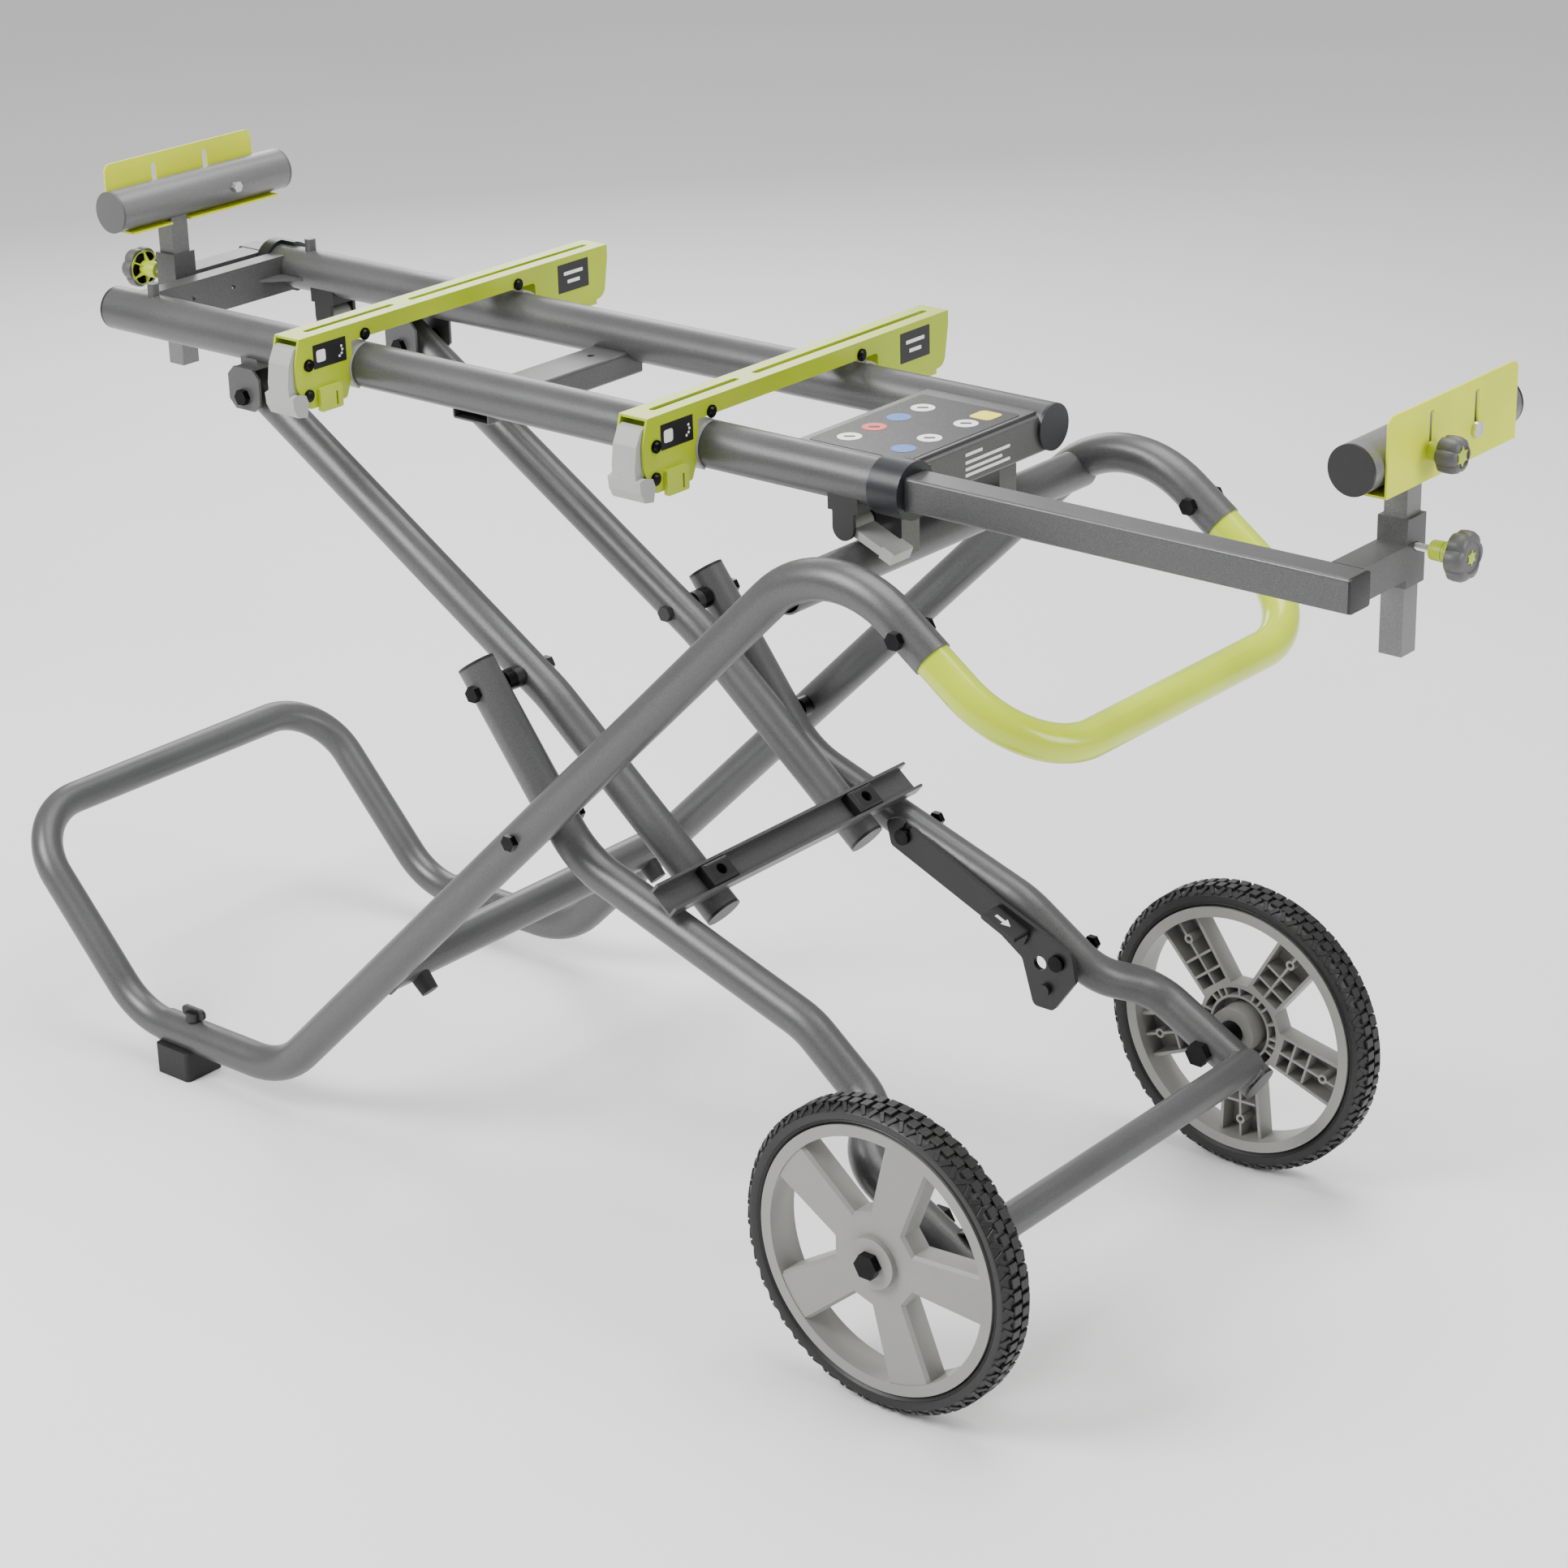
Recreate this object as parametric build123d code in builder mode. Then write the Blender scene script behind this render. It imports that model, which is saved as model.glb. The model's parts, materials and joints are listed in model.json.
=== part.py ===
from build123d import *
import os
from math import atan2, cos, degrees, hypot, radians, sin

# Folding, wheeled work stand for a mitre saw. Millimetres, +Z up.
# +X runs along the table rails towards the handle and the wheels, +Y across the stand.
# The origin is on the ground below the middle of the open stand.

# ---- driving dimensions -------------------------------------------------------------
RAIL_D = 45.0            # table rail tube
RAIL_WALL = 1.5
RAIL_Y = 111.4           # rail centre line, each side of the middle
RAIL_Z = 804.0           # height of the rail centre lines
RAIL_LEFT = -712.0
RAIL_RIGHT = 328.0

LEG_D = 38.1             # tube of the outer legs, the wheel frame and the link frame
LEG_WALL = 2.0
LEG_Y = 221.4            # outer legs
WHEEL_FRAME_Y = 170.6    # wheel frame, straight part
WHEEL_FLARE_Y = 232.0    # wheel frame, beside the wheels
LINK_Y = 110.7           # link frame
LOOP_D = 35.0            # foot loop and handle loop
PLUG_D = LEG_D - 2 * LEG_WALL - 0.1   # reduced end of a loop inside a leg tube
PLUG_L = 40.0
AXLE_TUBE_D = 32.0

TABLE_PIVOT = (286.0, 803.0)     # x, z of the four main pivots
LEG_PIVOT = (-52.0, 411.0)
KNEE_PIVOT = (-140.0, 527.0)
LINK_PIVOT = (-497.0, 751.0)

FOOT_END_X = -609.0      # outer leg: foot run, long straight, top bend, down to the handle
FOOT_Z = 44.05
FOOT_CORNER_X = -428.0
LEG_TOP = (332.0, 785.0)
HANDLE_JOINT = (445.0, 702.5)
HANDLE_CORNER_X = 549.0
LEG_BEND_R = 110.0
LOOP_CORNER_X = -652.0
LOOP_TOP = (-824.0, 233.0)
LOOP_SIDE_R = 95.0
LOOP_CORNER_R = 75.0
HANDLE_CORNER_R = 90.0
CROSS_LOW_X = -270.0     # lower cross tube of the outer legs
CROSS_HIGH = (282.0, 727.0)

FRAME_TOP = (-155.0, 547.0)      # wheel frame: top end, bend below the leg pivot, flare, end
FRAME_KNEE = (-26.0, 374.5)
FLARE_START = (255.0, 280.0)
FLARE_MID = (336.0, 222.0)
FLARE_MID_Y = 176.0
FLARE_END = (369.0, 196.0)
FRAME_END = (493.0, 128.0)
FRAME_BEND_R = 100.0
FLARE_BEND_R = 52.0
AXLE_TUBE = (484.0, 147.0)
LINK_BEND = (-111.5, 507.6)
LINK_BEND_R = 200.0
LINK_END = (99.0, 332.5)
LINK_OVERRUN = 16.0      # link tube above its top pivot
REST_SPOT = (91.0, 366.0)        # middle of the rest channel's web
REST_W = 32.0
REST_HALF = 190.0
REST_T = 3.0
REST_LIP = 11.0

WHEEL_X = 438.0
WHEEL_R = 152.4
WHEEL_Y = 290.0
TYRE_W = 38.0
RIM_R = 131.5
RIM_W = 34.0
RIM_BAND = 11.0          # radial width of the rim's outer band
SPOKES = 5
HUB_R = 25.0
HUB_W = 44.0
AXLE_R = 7.95

PAD_L = 50.0             # rubber foot
PAD_X = -580.0
PAD_H = 34.0
WING_X = -565.0
WING_R = 4.0

ARM_W = 31.0             # square tube of the extension arms
ARM_WALL = 2.0
ARM_EDGE_R = 3.0
ARM_L = 960.0
ARM_RIGHT_END = 794.0
ARM_LEFT_END = -750.0
ARM_TIP = 20.0           # end of an arm beyond the middle of its sleeve
COLLAR_L = 34.0
COLLAR_R = 27.0
BRANCH_W = 30.0
POST_Y = -13.0           # posts and sleeves of both work supports
POST_W = 22.0
SLEEVE_W = 29.0
SLEEVE_LOW = 781.0
SLEEVE_HIGH = 841.0
POST_LOW = 719.0
SUPPORT_D = 44.0         # round tube on top of a post
SUPPORT_Z = 899.0
SUPPORT_L = 232.0
SUPPORT_SHIFT = 36.0     # middle of the support tube, from its post
CAP_T = 3.0
STOP_L = 206.0           # stop plate
STOP_HIGH = 943.0
STOP_T = 2.0
STOP_LIP = 40.0
STOP_DROP = 2.5          # underside of the support tube down to the plate's bent foot
STOP_SLOT = 31.0
SLOT_STEP = 72.0
PLATE_KNOB_R = 16.0
SLEEVE_KNOB_R = 22.0
KNOB_END = 67.5          # sleeve knob's outer face, from the middle of the sleeve

BRACKET_X = (-359.0, 91.0)
BRACKET_W = 34.0         # saw mounting bracket
BRACKET_FRONT = -207.0
BRACKET_BACK = 242.0
BRACKET_TOP = 850.0
BRACKET_T = 2.5
BRACKET_SIDE = 17.0      # depth of the side between the rails
BRACKET_NOSE = 72.0      # depth of the side in front of the near rail
BRACKET_TAIL = 55.0      # depth of the side behind the far rail
SLOT_W = 7.0

GAP = 0.35               # between faces of different bodies
RUN = 0.05               # radial clearance of a pin that turns in its hole
BOLT_R = 5.0
HEAD_R = 8.5
HEAD_H = 6.5
SPACER_R = 11.0

os.makedirs("parts", exist_ok=True)
SIDES = {"near": -1, "far": 1}
LEG_R = LEG_D / 2
TUBE_BORE = LEG_R - LEG_WALL
RAIL_R = RAIL_D / 2


def save(builder, name):
    """Label the finished piece and write it as its own STEP file."""
    builder.part.label = name
    export_step(builder.part, f"parts/{name}.step")


def across(x, y, z):
    """A plane whose normal runs along +Y: sketch X is world X, sketch Y is world -Z."""
    return Plane(origin=(x, y, z), x_dir=(1, 0, 0), z_dir=(0, 1, 0))


def along(x, y, z):
    """A plane whose normal runs along +X: sketch X is world Y, sketch Y is world Z."""
    return Plane(origin=(x, y, z), x_dir=(0, 1, 0), z_dir=(1, 0, 0))


def tube(points, bends, outer, wall):
    """A round tube along straight runs with rounded corners; a wall of 0 makes it solid."""
    with BuildLine() as path:
        if bends:
            FilletPolyline(*points, radius=bends)
        else:
            Line(points[0], points[-1])
    with BuildSketch(Plane(origin=path.line @ 0, z_dir=path.line % 0)) as ring:
        Circle(outer / 2)
        if wall:
            Circle(outer / 2 - wall, mode=Mode.SUBTRACT)
    sweep(sections=ring.sketch, path=path.line)


def bar(x, y0, y1, z, radius, mode=Mode.ADD):
    """A round bar, or a hole, along Y from y0 to y1."""
    with BuildSketch(across(x, min(y0, y1), z)) as disc:
        Circle(radius)
    extrude(disc.sketch, amount=abs(y1 - y0), mode=mode)


def rod(x0, x1, y, z, radius, mode=Mode.ADD):
    """A round bar, or a hole, along X from x0 to x1."""
    with BuildSketch(along(min(x0, x1), y, z)) as disc:
        Circle(radius)
    extrude(disc.sketch, amount=abs(x1 - x0), mode=mode)


def hexagon(x, y0, y1, z, radius):
    """A hexagon along Y, as on a bolt's head or a nut."""
    with BuildSketch(across(x, min(y0, y1), z)) as outline:
        RegularPolygon(radius, 6)
    extrude(outline.sketch, amount=abs(y1 - y0))


def block(x0, x1, y0, y1, z0, z1, mode=Mode.ADD):
    """A rectangular block between pairs of limits, given in either order."""
    with Locations(((x0 + x1) / 2, (y0 + y1) / 2, (z0 + z1) / 2)):
        Box(abs(x1 - x0), abs(y1 - y0), abs(z1 - z0), mode=mode)


def clear_rails(reach=0.0):
    """Cut away the space of both table rails."""
    for s in SIDES.values():
        rod(RAIL_LEFT - 50, RAIL_RIGHT + 50, s * RAIL_Y, RAIL_Z, RAIL_R + reach, Mode.SUBTRACT)


def unit(start, end):
    """Direction from start to end as a pair of cosines."""
    length = hypot(end[0] - start[0], end[1] - start[1])
    return (end[0] - start[0]) / length, (end[1] - start[1]) / length


def end_disc(end, direction, y, outer, inner, thickness, depth):
    """A plastic end cap: a disc outside the tube's end and a plug inside it."""
    dx, dz = direction
    face = Plane(origin=(end[0], y, end[1]), z_dir=(dx, 0, dz))
    with BuildSketch(face) as disc:
        Circle(outer)
    extrude(disc.sketch, amount=thickness)
    with BuildSketch(face) as plug:
        Circle(inner)
    extrude(plug.sketch, amount=-depth)


# ---- outer legs, which stay still ------------------------------------------------------
def leg_points(y):
    """Corners of an outer leg, from the foot to the handle."""
    return [(FOOT_END_X, y, FOOT_Z), (FOOT_CORNER_X, y, FOOT_Z), (LEG_TOP[0], y, LEG_TOP[1]),
            (HANDLE_JOINT[0], y, HANDLE_JOINT[1])]


LEG_BENDS = [LEG_BEND_R, LEG_BEND_R]
LEG_RUN = unit((FOOT_CORNER_X, FOOT_Z), LEG_TOP)
HANDLE_RUN = unit(LEG_TOP, HANDLE_JOINT)
HANDLE_BOLT = (HANDLE_JOINT[0] - 0.75 * PLUG_L * HANDLE_RUN[0],
               HANDLE_JOINT[1] - 0.75 * PLUG_L * HANDLE_RUN[1])
HANDLE_CORNER_Z = HANDLE_JOINT[1] + (HANDLE_CORNER_X - HANDLE_JOINT[0]) * HANDLE_RUN[1] / HANDLE_RUN[0]
CROSS_LOW_Z = FOOT_Z + (CROSS_LOW_X - FOOT_CORNER_X) * LEG_RUN[1] / LEG_RUN[0]

leg_space = {}
for side, s in SIDES.items():
    with BuildPart() as leg_tube:
        tube(leg_points(s * LEG_Y), LEG_BENDS, LEG_D, LEG_WALL)
        for x, z in (LEG_PIVOT, HANDLE_BOLT):
            bar(x, s * (LEG_Y - LEG_D), s * (LEG_Y + LEG_D), z, BOLT_R, Mode.SUBTRACT)
        if s < 0:
            with Locations((WING_X, s * LEG_Y, FOOT_Z)):
                Cylinder(WING_R + RUN, 2 * LEG_D, mode=Mode.SUBTRACT)
    save(leg_tube, f"leg_tube_{side}")
    with BuildPart() as solid_leg:
        tube(leg_points(s * LEG_Y), LEG_BENDS, LEG_D, 0)
    leg_space[side] = solid_leg.part

with BuildPart() as handle_loop:
    tube([(HANDLE_JOINT[0], -LEG_Y, HANDLE_JOINT[1]), (HANDLE_CORNER_X, -LEG_Y, HANDLE_CORNER_Z),
          (HANDLE_CORNER_X, LEG_Y, HANDLE_CORNER_Z), (HANDLE_JOINT[0], LEG_Y, HANDLE_JOINT[1])],
         [HANDLE_CORNER_R, HANDLE_CORNER_R], LOOP_D, LEG_WALL)
    for s in SIDES.values():
        joint = Plane(origin=(HANDLE_JOINT[0], s * LEG_Y, HANDLE_JOINT[1]),
                      z_dir=(-HANDLE_RUN[0], 0, -HANDLE_RUN[1]))
        with BuildSketch(joint):
            Circle(PLUG_D / 2)
            Circle(PLUG_D / 2 - LEG_WALL, mode=Mode.SUBTRACT)
        extrude(amount=PLUG_L)
        bar(HANDLE_BOLT[0], s * (LEG_Y - LEG_D), s * (LEG_Y + LEG_D), HANDLE_BOLT[1], BOLT_R,
            Mode.SUBTRACT)
save(handle_loop, "handle_loop")

with BuildPart() as foot_loop:
    tube([(FOOT_END_X, -LEG_Y, FOOT_Z), (LOOP_CORNER_X, -LEG_Y, FOOT_Z),
          (LOOP_TOP[0], -LEG_Y, LOOP_TOP[1]), (LOOP_TOP[0], LEG_Y, LOOP_TOP[1]),
          (LOOP_CORNER_X, LEG_Y, FOOT_Z), (FOOT_END_X, LEG_Y, FOOT_Z)],
         [LOOP_SIDE_R, LOOP_CORNER_R, LOOP_CORNER_R, LOOP_SIDE_R], LOOP_D, LEG_WALL)
    for s in SIDES.values():
        with BuildSketch(along(FOOT_END_X, s * LEG_Y, FOOT_Z)):
            Circle(PLUG_D / 2)
            Circle(PLUG_D / 2 - LEG_WALL, mode=Mode.SUBTRACT)
        extrude(amount=PLUG_L)
    with Locations((WING_X, -LEG_Y, FOOT_Z)):
        Cylinder(WING_R + RUN, LEG_D, mode=Mode.SUBTRACT)
save(foot_loop, "foot_loop")

# Cross tubes between the legs, and the forks on the upper one that hold the table's lugs.
FORK_IN = 60.0           # fork, from the middle of the stand
FORK_OUT = 86.0
FORK_T = 3.0
FORK_R = 13.0
FORK_WEB_X = TABLE_PIVOT[0] + 20.0
FORK_SHOULDER = 776.0    # height where the fork narrows to its ears
with BuildPart() as leg_cross_members:
    for x, z in ((CROSS_LOW_X, CROSS_LOW_Z), CROSS_HIGH):
        bar(x, -LEG_Y, LEG_Y, z, LEG_R)
        bar(x, -LEG_Y, LEG_Y, z, TUBE_BORE, Mode.SUBTRACT)
    for side in SIDES:
        add(leg_space[side], mode=Mode.SUBTRACT)
save(leg_cross_members, "leg_cross_members")

# Each fork is bent from plate and welded onto the upper cross tube.
with BuildPart() as table_forks:
    for s in SIDES.values():
        for wall_y in (FORK_IN, FORK_OUT - FORK_T):
            block(TABLE_PIVOT[0] - FORK_R, FORK_WEB_X, s * wall_y, s * (wall_y + FORK_T),
                  CROSS_HIGH[1], FORK_SHOULDER)
            block(TABLE_PIVOT[0] - FORK_R, TABLE_PIVOT[0] + FORK_R, s * wall_y, s * (wall_y + FORK_T),
                  FORK_SHOULDER, TABLE_PIVOT[1])
            bar(TABLE_PIVOT[0], s * wall_y, s * (wall_y + FORK_T), TABLE_PIVOT[1], FORK_R)
        block(FORK_WEB_X - FORK_T, FORK_WEB_X, s * FORK_IN, s * FORK_OUT, CROSS_HIGH[1], FORK_SHOULDER)
        bar(TABLE_PIVOT[0], s * (FORK_IN - 1), s * (FORK_OUT + 1), TABLE_PIVOT[1], BOLT_R, Mode.SUBTRACT)
    bar(CROSS_HIGH[0], -LEG_Y, LEG_Y, CROSS_HIGH[1], LEG_R, Mode.SUBTRACT)
save(table_forks, "table_forks")

BUMPER_Y = 176.0         # rubber stops that meet the folded wheel frame
BUMPER_R = 12.0
BUMPER_H = 17.0
with BuildPart() as leg_bumpers:
    for s in SIDES.values():
        with BuildSketch(Plane(origin=(CROSS_LOW_X, s * BUMPER_Y, CROSS_LOW_Z),
                               z_dir=(LEG_RUN[1], 0, -LEG_RUN[0]))):
            Circle(BUMPER_R)
        extrude(amount=LEG_R + BUMPER_H, taper=4)
    bar(CROSS_LOW_X, -LEG_Y, LEG_Y, CROSS_LOW_Z, LEG_R, Mode.SUBTRACT)
save(leg_bumpers, "leg_bumpers")

with BuildPart() as foot_pads:
    for s in SIDES.values():
        block(PAD_X - PAD_L / 2, PAD_X + PAD_L / 2, s * LEG_Y - PAD_L / 2, s * LEG_Y + PAD_L / 2, 0, PAD_H)
    fillet(foot_pads.edges().filter_by(Axis.Z), 5.0)
    chamfer(foot_pads.faces().sort_by(Axis.Z)[0].edges(), 1.5)
    for s in SIDES.values():
        rod(FOOT_END_X, PAD_X + PAD_L, s * LEG_Y, FOOT_Z, LEG_R, Mode.SUBTRACT)
    with Locations((WING_X, -LEG_Y, PAD_H)):
        Cylinder(WING_R + RUN, 34.0, mode=Mode.SUBTRACT)
save(foot_pads, "foot_pads")

with BuildPart() as leg_fasteners:
    outer = LEG_Y + LEG_R
    inner = LEG_Y - LEG_R
    frame_outer = WHEEL_FRAME_Y + LEG_R
    frame_inner = WHEEL_FRAME_Y - LEG_R
    for s in SIDES.values():
        bar(HANDLE_BOLT[0], s * inner, s * outer, HANDLE_BOLT[1], BOLT_R)
        hexagon(HANDLE_BOLT[0], s * outer, s * (outer + HEAD_H), HANDLE_BOLT[1], HEAD_R)
        hexagon(HANDLE_BOLT[0], s * (inner - HEAD_H), s * inner, HANDLE_BOLT[1], HEAD_R)
        bar(LEG_PIVOT[0], s * (frame_inner - GAP), s * outer, LEG_PIVOT[1], BOLT_R)
        hexagon(LEG_PIVOT[0], s * outer, s * (outer + HEAD_H), LEG_PIVOT[1], HEAD_R)
        hexagon(LEG_PIVOT[0], s * (frame_inner - GAP - HEAD_H), s * (frame_inner - GAP), LEG_PIVOT[1], HEAD_R)
        bar(LEG_PIVOT[0], s * (frame_outer + GAP), s * inner, LEG_PIVOT[1], SPACER_R)
        bar(TABLE_PIVOT[0], s * FORK_IN, s * FORK_OUT, TABLE_PIVOT[1], BOLT_R)
        bar(TABLE_PIVOT[0], s * FORK_OUT, s * (FORK_OUT + 2.5), TABLE_PIVOT[1], HEAD_R)
        bar(TABLE_PIVOT[0], s * (FORK_IN - HEAD_H), s * FORK_IN, TABLE_PIVOT[1], HEAD_R)
save(leg_fasteners, "leg_fasteners")

WING_SPAN = 34.0
with BuildPart() as foot_wing_bolt:
    with Locations((WING_X, -LEG_Y, (18.0 + FOOT_Z + LEG_R + 6) / 2)):
        Cylinder(WING_R, FOOT_Z + LEG_R + 6 - 18.0)
    with Locations((WING_X, -LEG_Y, FOOT_Z + LEG_R + 5)):
        Cylinder(9.0, 9.0)
    with BuildSketch(Plane(origin=(WING_X, -LEG_Y - 2, FOOT_Z + LEG_R + 3), x_dir=(1, 0, 0),
                           z_dir=(0, 1, 0))) as wing:
        with Locations((0, -6.0)):
            SlotOverall(WING_SPAN, 12.0)
    extrude(wing.sketch, amount=4.0)
save(foot_wing_bolt, "foot_wing_bolt")

# ---- table, which turns on the legs' upper forks ------------------------------------------
CROSS_LEFT_X = -699.0    # left cross channel
CROSS_LEFT_W = 20.0
CROSS_LEFT_H = 40.0
MID_X = -203.0           # middle cross tube
MID_W = 48.0
MID_H = 25.0
MID_TOP = 795.0
END_BOX_X = 301.0        # box section across the right end
END_BOX_LOW = 782.0
TOP_Z = 818.0            # underside of the top plate, on the end box
TOP_LEFT = 195.0
TOP_RIGHT = 321.0
PLATE_T = 3.0
ARM_SIDE = {"right": -1, "left": 1}

for side, s in SIDES.items():
    with BuildPart() as rail:
        rod(RAIL_LEFT, RAIL_RIGHT, s * RAIL_Y, RAIL_Z, RAIL_R)
        rod(RAIL_LEFT, RAIL_RIGHT, s * RAIL_Y, RAIL_Z, RAIL_R - RAIL_WALL, Mode.SUBTRACT)
    save(rail, f"rail_{side}")

with BuildPart() as left_cross_channel:
    block(CROSS_LEFT_X, CROSS_LEFT_X + CROSS_LEFT_W, -RAIL_Y, RAIL_Y, RAIL_Z - 24, RAIL_Z - 24 + CROSS_LEFT_H)
    block(CROSS_LEFT_X - 1, CROSS_LEFT_X + CROSS_LEFT_W - PLATE_T, -RAIL_Y, RAIL_Y,
          RAIL_Z - 24 + PLATE_T, RAIL_Z - 24 + CROSS_LEFT_H - PLATE_T, Mode.SUBTRACT)
    for y in (-36.0, 20.0):
        rod(CROSS_LEFT_X, CROSS_LEFT_X + CROSS_LEFT_W + 1, y, RAIL_Z - 2, 2.5, Mode.SUBTRACT)
    clear_rails()
save(left_cross_channel, "left_cross_channel")

with BuildPart() as mid_cross_tube:
    block(MID_X - MID_W / 2, MID_X + MID_W / 2, -RAIL_Y, RAIL_Y, MID_TOP - MID_H, MID_TOP)
    fillet(mid_cross_tube.edges().filter_by(Axis.Y), 3.0)
    block(MID_X - MID_W / 2 + 2, MID_X + MID_W / 2 - 2, -RAIL_Y, RAIL_Y, MID_TOP - MID_H + 2, MID_TOP - 2,
          Mode.SUBTRACT)
    with Locations((MID_X, 62.0, MID_TOP)):
        Cylinder(4.0, 10.0, mode=Mode.SUBTRACT)
    clear_rails()
save(mid_cross_tube, "mid_cross_tube")

with BuildPart() as right_end_box:
    block(END_BOX_X, RAIL_RIGHT - 1, -RAIL_Y, RAIL_Y, END_BOX_LOW, TOP_Z)
    fillet(right_end_box.edges().filter_by(Axis.Y), 2.5)
    block(END_BOX_X + 2, RAIL_RIGHT - 3, -RAIL_Y, RAIL_Y, END_BOX_LOW + 2, TOP_Z - 2, Mode.SUBTRACT)
    clear_rails()
save(right_end_box, "right_end_box")

with BuildPart() as top_plate:
    block(TOP_LEFT, TOP_RIGHT, -RAIL_Y, RAIL_Y, TOP_Z, TOP_Z + PLATE_T)
    fillet(top_plate.edges().filter_by(Axis.Y).sort_by(Axis.X)[0], 0.8)
    block(TOP_LEFT, TOP_LEFT + PLATE_T, -RAIL_Y, RAIL_Y, TOP_Z - 12, TOP_Z)
    clear_rails()
save(top_plate, "top_plate")

# Collars with a square hole guide the arms; plain caps close the other two rail ends.
with BuildPart() as rail_end_fittings:
    for side, s, start, face in (("near", -1, RAIL_RIGHT + 14 - COLLAR_L, RAIL_RIGHT - 1),
                                 ("far", 1, RAIL_LEFT - 2, CROSS_LEFT_X)):
        out = 1 if face > 0 else -1
        end = RAIL_RIGHT if face > 0 else RAIL_LEFT
        rod(start, start + COLLAR_L, s * RAIL_Y, RAIL_Z, COLLAR_R)
        block(face, face + out * 5, s * 76.0, s * 100.0, RAIL_Z - 13, RAIL_Z + 13)
        rod(end, end - out * 60, s * RAIL_Y, RAIL_Z, RAIL_R, Mode.SUBTRACT)
        block(end - 20, end + 20, s * RAIL_Y - ARM_W / 2 - 2 * RUN, s * RAIL_Y + ARM_W / 2 + 2 * RUN,
              RAIL_Z - ARM_W / 2 - 2 * RUN, RAIL_Z + ARM_W / 2 + 2 * RUN, Mode.SUBTRACT)
        block(end - out * 60, face, s * 60.0, s * RAIL_Y, RAIL_Z - 40, RAIL_Z + 40, Mode.SUBTRACT)
        rod(face, face + out * 8, s * 83.0, RAIL_Z, 4.5)
    rod(RAIL_RIGHT, RAIL_RIGHT + CAP_T, RAIL_Y, RAIL_Z, RAIL_R)
    rod(RAIL_RIGHT, RAIL_RIGHT - 14, RAIL_Y, RAIL_Z, RAIL_R - RAIL_WALL)
    rod(RAIL_LEFT, RAIL_LEFT - CAP_T, -RAIL_Y, RAIL_Z, RAIL_R)
    rod(RAIL_LEFT, RAIL_LEFT + 14, -RAIL_Y, RAIL_Z, RAIL_R - RAIL_WALL)
save(rail_end_fittings, "rail_end_fittings")

STUD_X = -654.0          # studs that stop the saw brackets, and gussets in the left corners
STUD_R = 6.0
with BuildPart() as table_tabs:
    for s in SIDES.values():
        with Locations((STUD_X, s * RAIL_Y, RAIL_Z + RAIL_R + 3.5)):
            Cylinder(STUD_R, 18.0)
        with BuildSketch(Plane.XY.offset(RAIL_Z - 6)) as web:
            with BuildLine():
                Polyline((CROSS_LEFT_X + CROSS_LEFT_W, s * 58), (CROSS_LEFT_X + CROSS_LEFT_W, s * RAIL_Y),
                         (CROSS_LEFT_X + CROSS_LEFT_W + 32, s * RAIL_Y),
                         (CROSS_LEFT_X + CROSS_LEFT_W + 32, s * (RAIL_Y - RAIL_R)), close=True)
            make_face()
        extrude(web.sketch, amount=PLATE_T)
    clear_rails()
save(table_tabs, "table_tabs")

CLEVIS_L = 45.0          # saddles under the rails that hold the link frame
CLEVIS_LOW = 737.0
CLEVIS_HIGH = 781.0
CLEVIS_IN = RAIL_Y - 27.0
CLEVIS_OUT = RAIL_Y + 26.5
LUG_T = 18.0
with BuildPart() as link_clevises:
    for s in SIDES.values():
        for y in (CLEVIS_IN, CLEVIS_OUT - PLATE_T):
            with BuildSketch(across(LINK_PIVOT[0], min(s * y, s * (y + PLATE_T)), 0)) as ear:
                with Locations((0, -(CLEVIS_LOW + CLEVIS_HIGH) / 2)):
                    Rectangle(CLEVIS_L, CLEVIS_HIGH - CLEVIS_LOW)
                chamfer(ear.vertices(), 9.0)
                with Locations((0, -LINK_PIVOT[1])):
                    Circle(BOLT_R, mode=Mode.SUBTRACT)
            extrude(ear.sketch, amount=PLATE_T)
        block(LINK_PIVOT[0] - 12, LINK_PIVOT[0] + 12, s * CLEVIS_IN, s * CLEVIS_OUT, RAIL_Z - 25.5, CLEVIS_HIGH)
        block(LINK_PIVOT[0] - 12, LINK_PIVOT[0] + 12, s * (RAIL_Y - 17), s * (RAIL_Y + 17), CLEVIS_HIGH, RAIL_Z - 14)
    clear_rails()
save(link_clevises, "link_clevises")

with BuildPart() as pivot_lugs:
    for s in SIDES.values():
        lug_y = s * (FORK_IN + FORK_OUT) / 2
        block(TABLE_PIVOT[0], END_BOX_X, lug_y - LUG_T / 2, lug_y + LUG_T / 2,
              TABLE_PIVOT[1] - FORK_R, TABLE_PIVOT[1] + FORK_R)
        bar(TABLE_PIVOT[0], lug_y - LUG_T / 2, lug_y + LUG_T / 2, TABLE_PIVOT[1], FORK_R)
        bar(TABLE_PIVOT[0], lug_y - LUG_T, lug_y + LUG_T, TABLE_PIVOT[1], BOLT_R + RUN, Mode.SUBTRACT)
save(pivot_lugs, "pivot_lugs")

with BuildPart() as table_bolts:
    x, z = LINK_PIVOT
    for s in SIDES.values():
        bar(x, s * CLEVIS_IN, s * CLEVIS_OUT, z, BOLT_R)
        hexagon(x, s * CLEVIS_OUT, s * (CLEVIS_OUT + HEAD_H), z, HEAD_R)
        hexagon(x, s * (CLEVIS_IN - HEAD_H), s * CLEVIS_IN, z, HEAD_R)
        bar(x, s * (CLEVIS_IN + PLATE_T), s * (LINK_Y - LEG_R - GAP), z, HEAD_R)
        bar(x, s * (LINK_Y + LEG_R + GAP), s * (CLEVIS_OUT - PLATE_T), z, HEAD_R)
save(table_bolts, "table_bolts")

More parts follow.
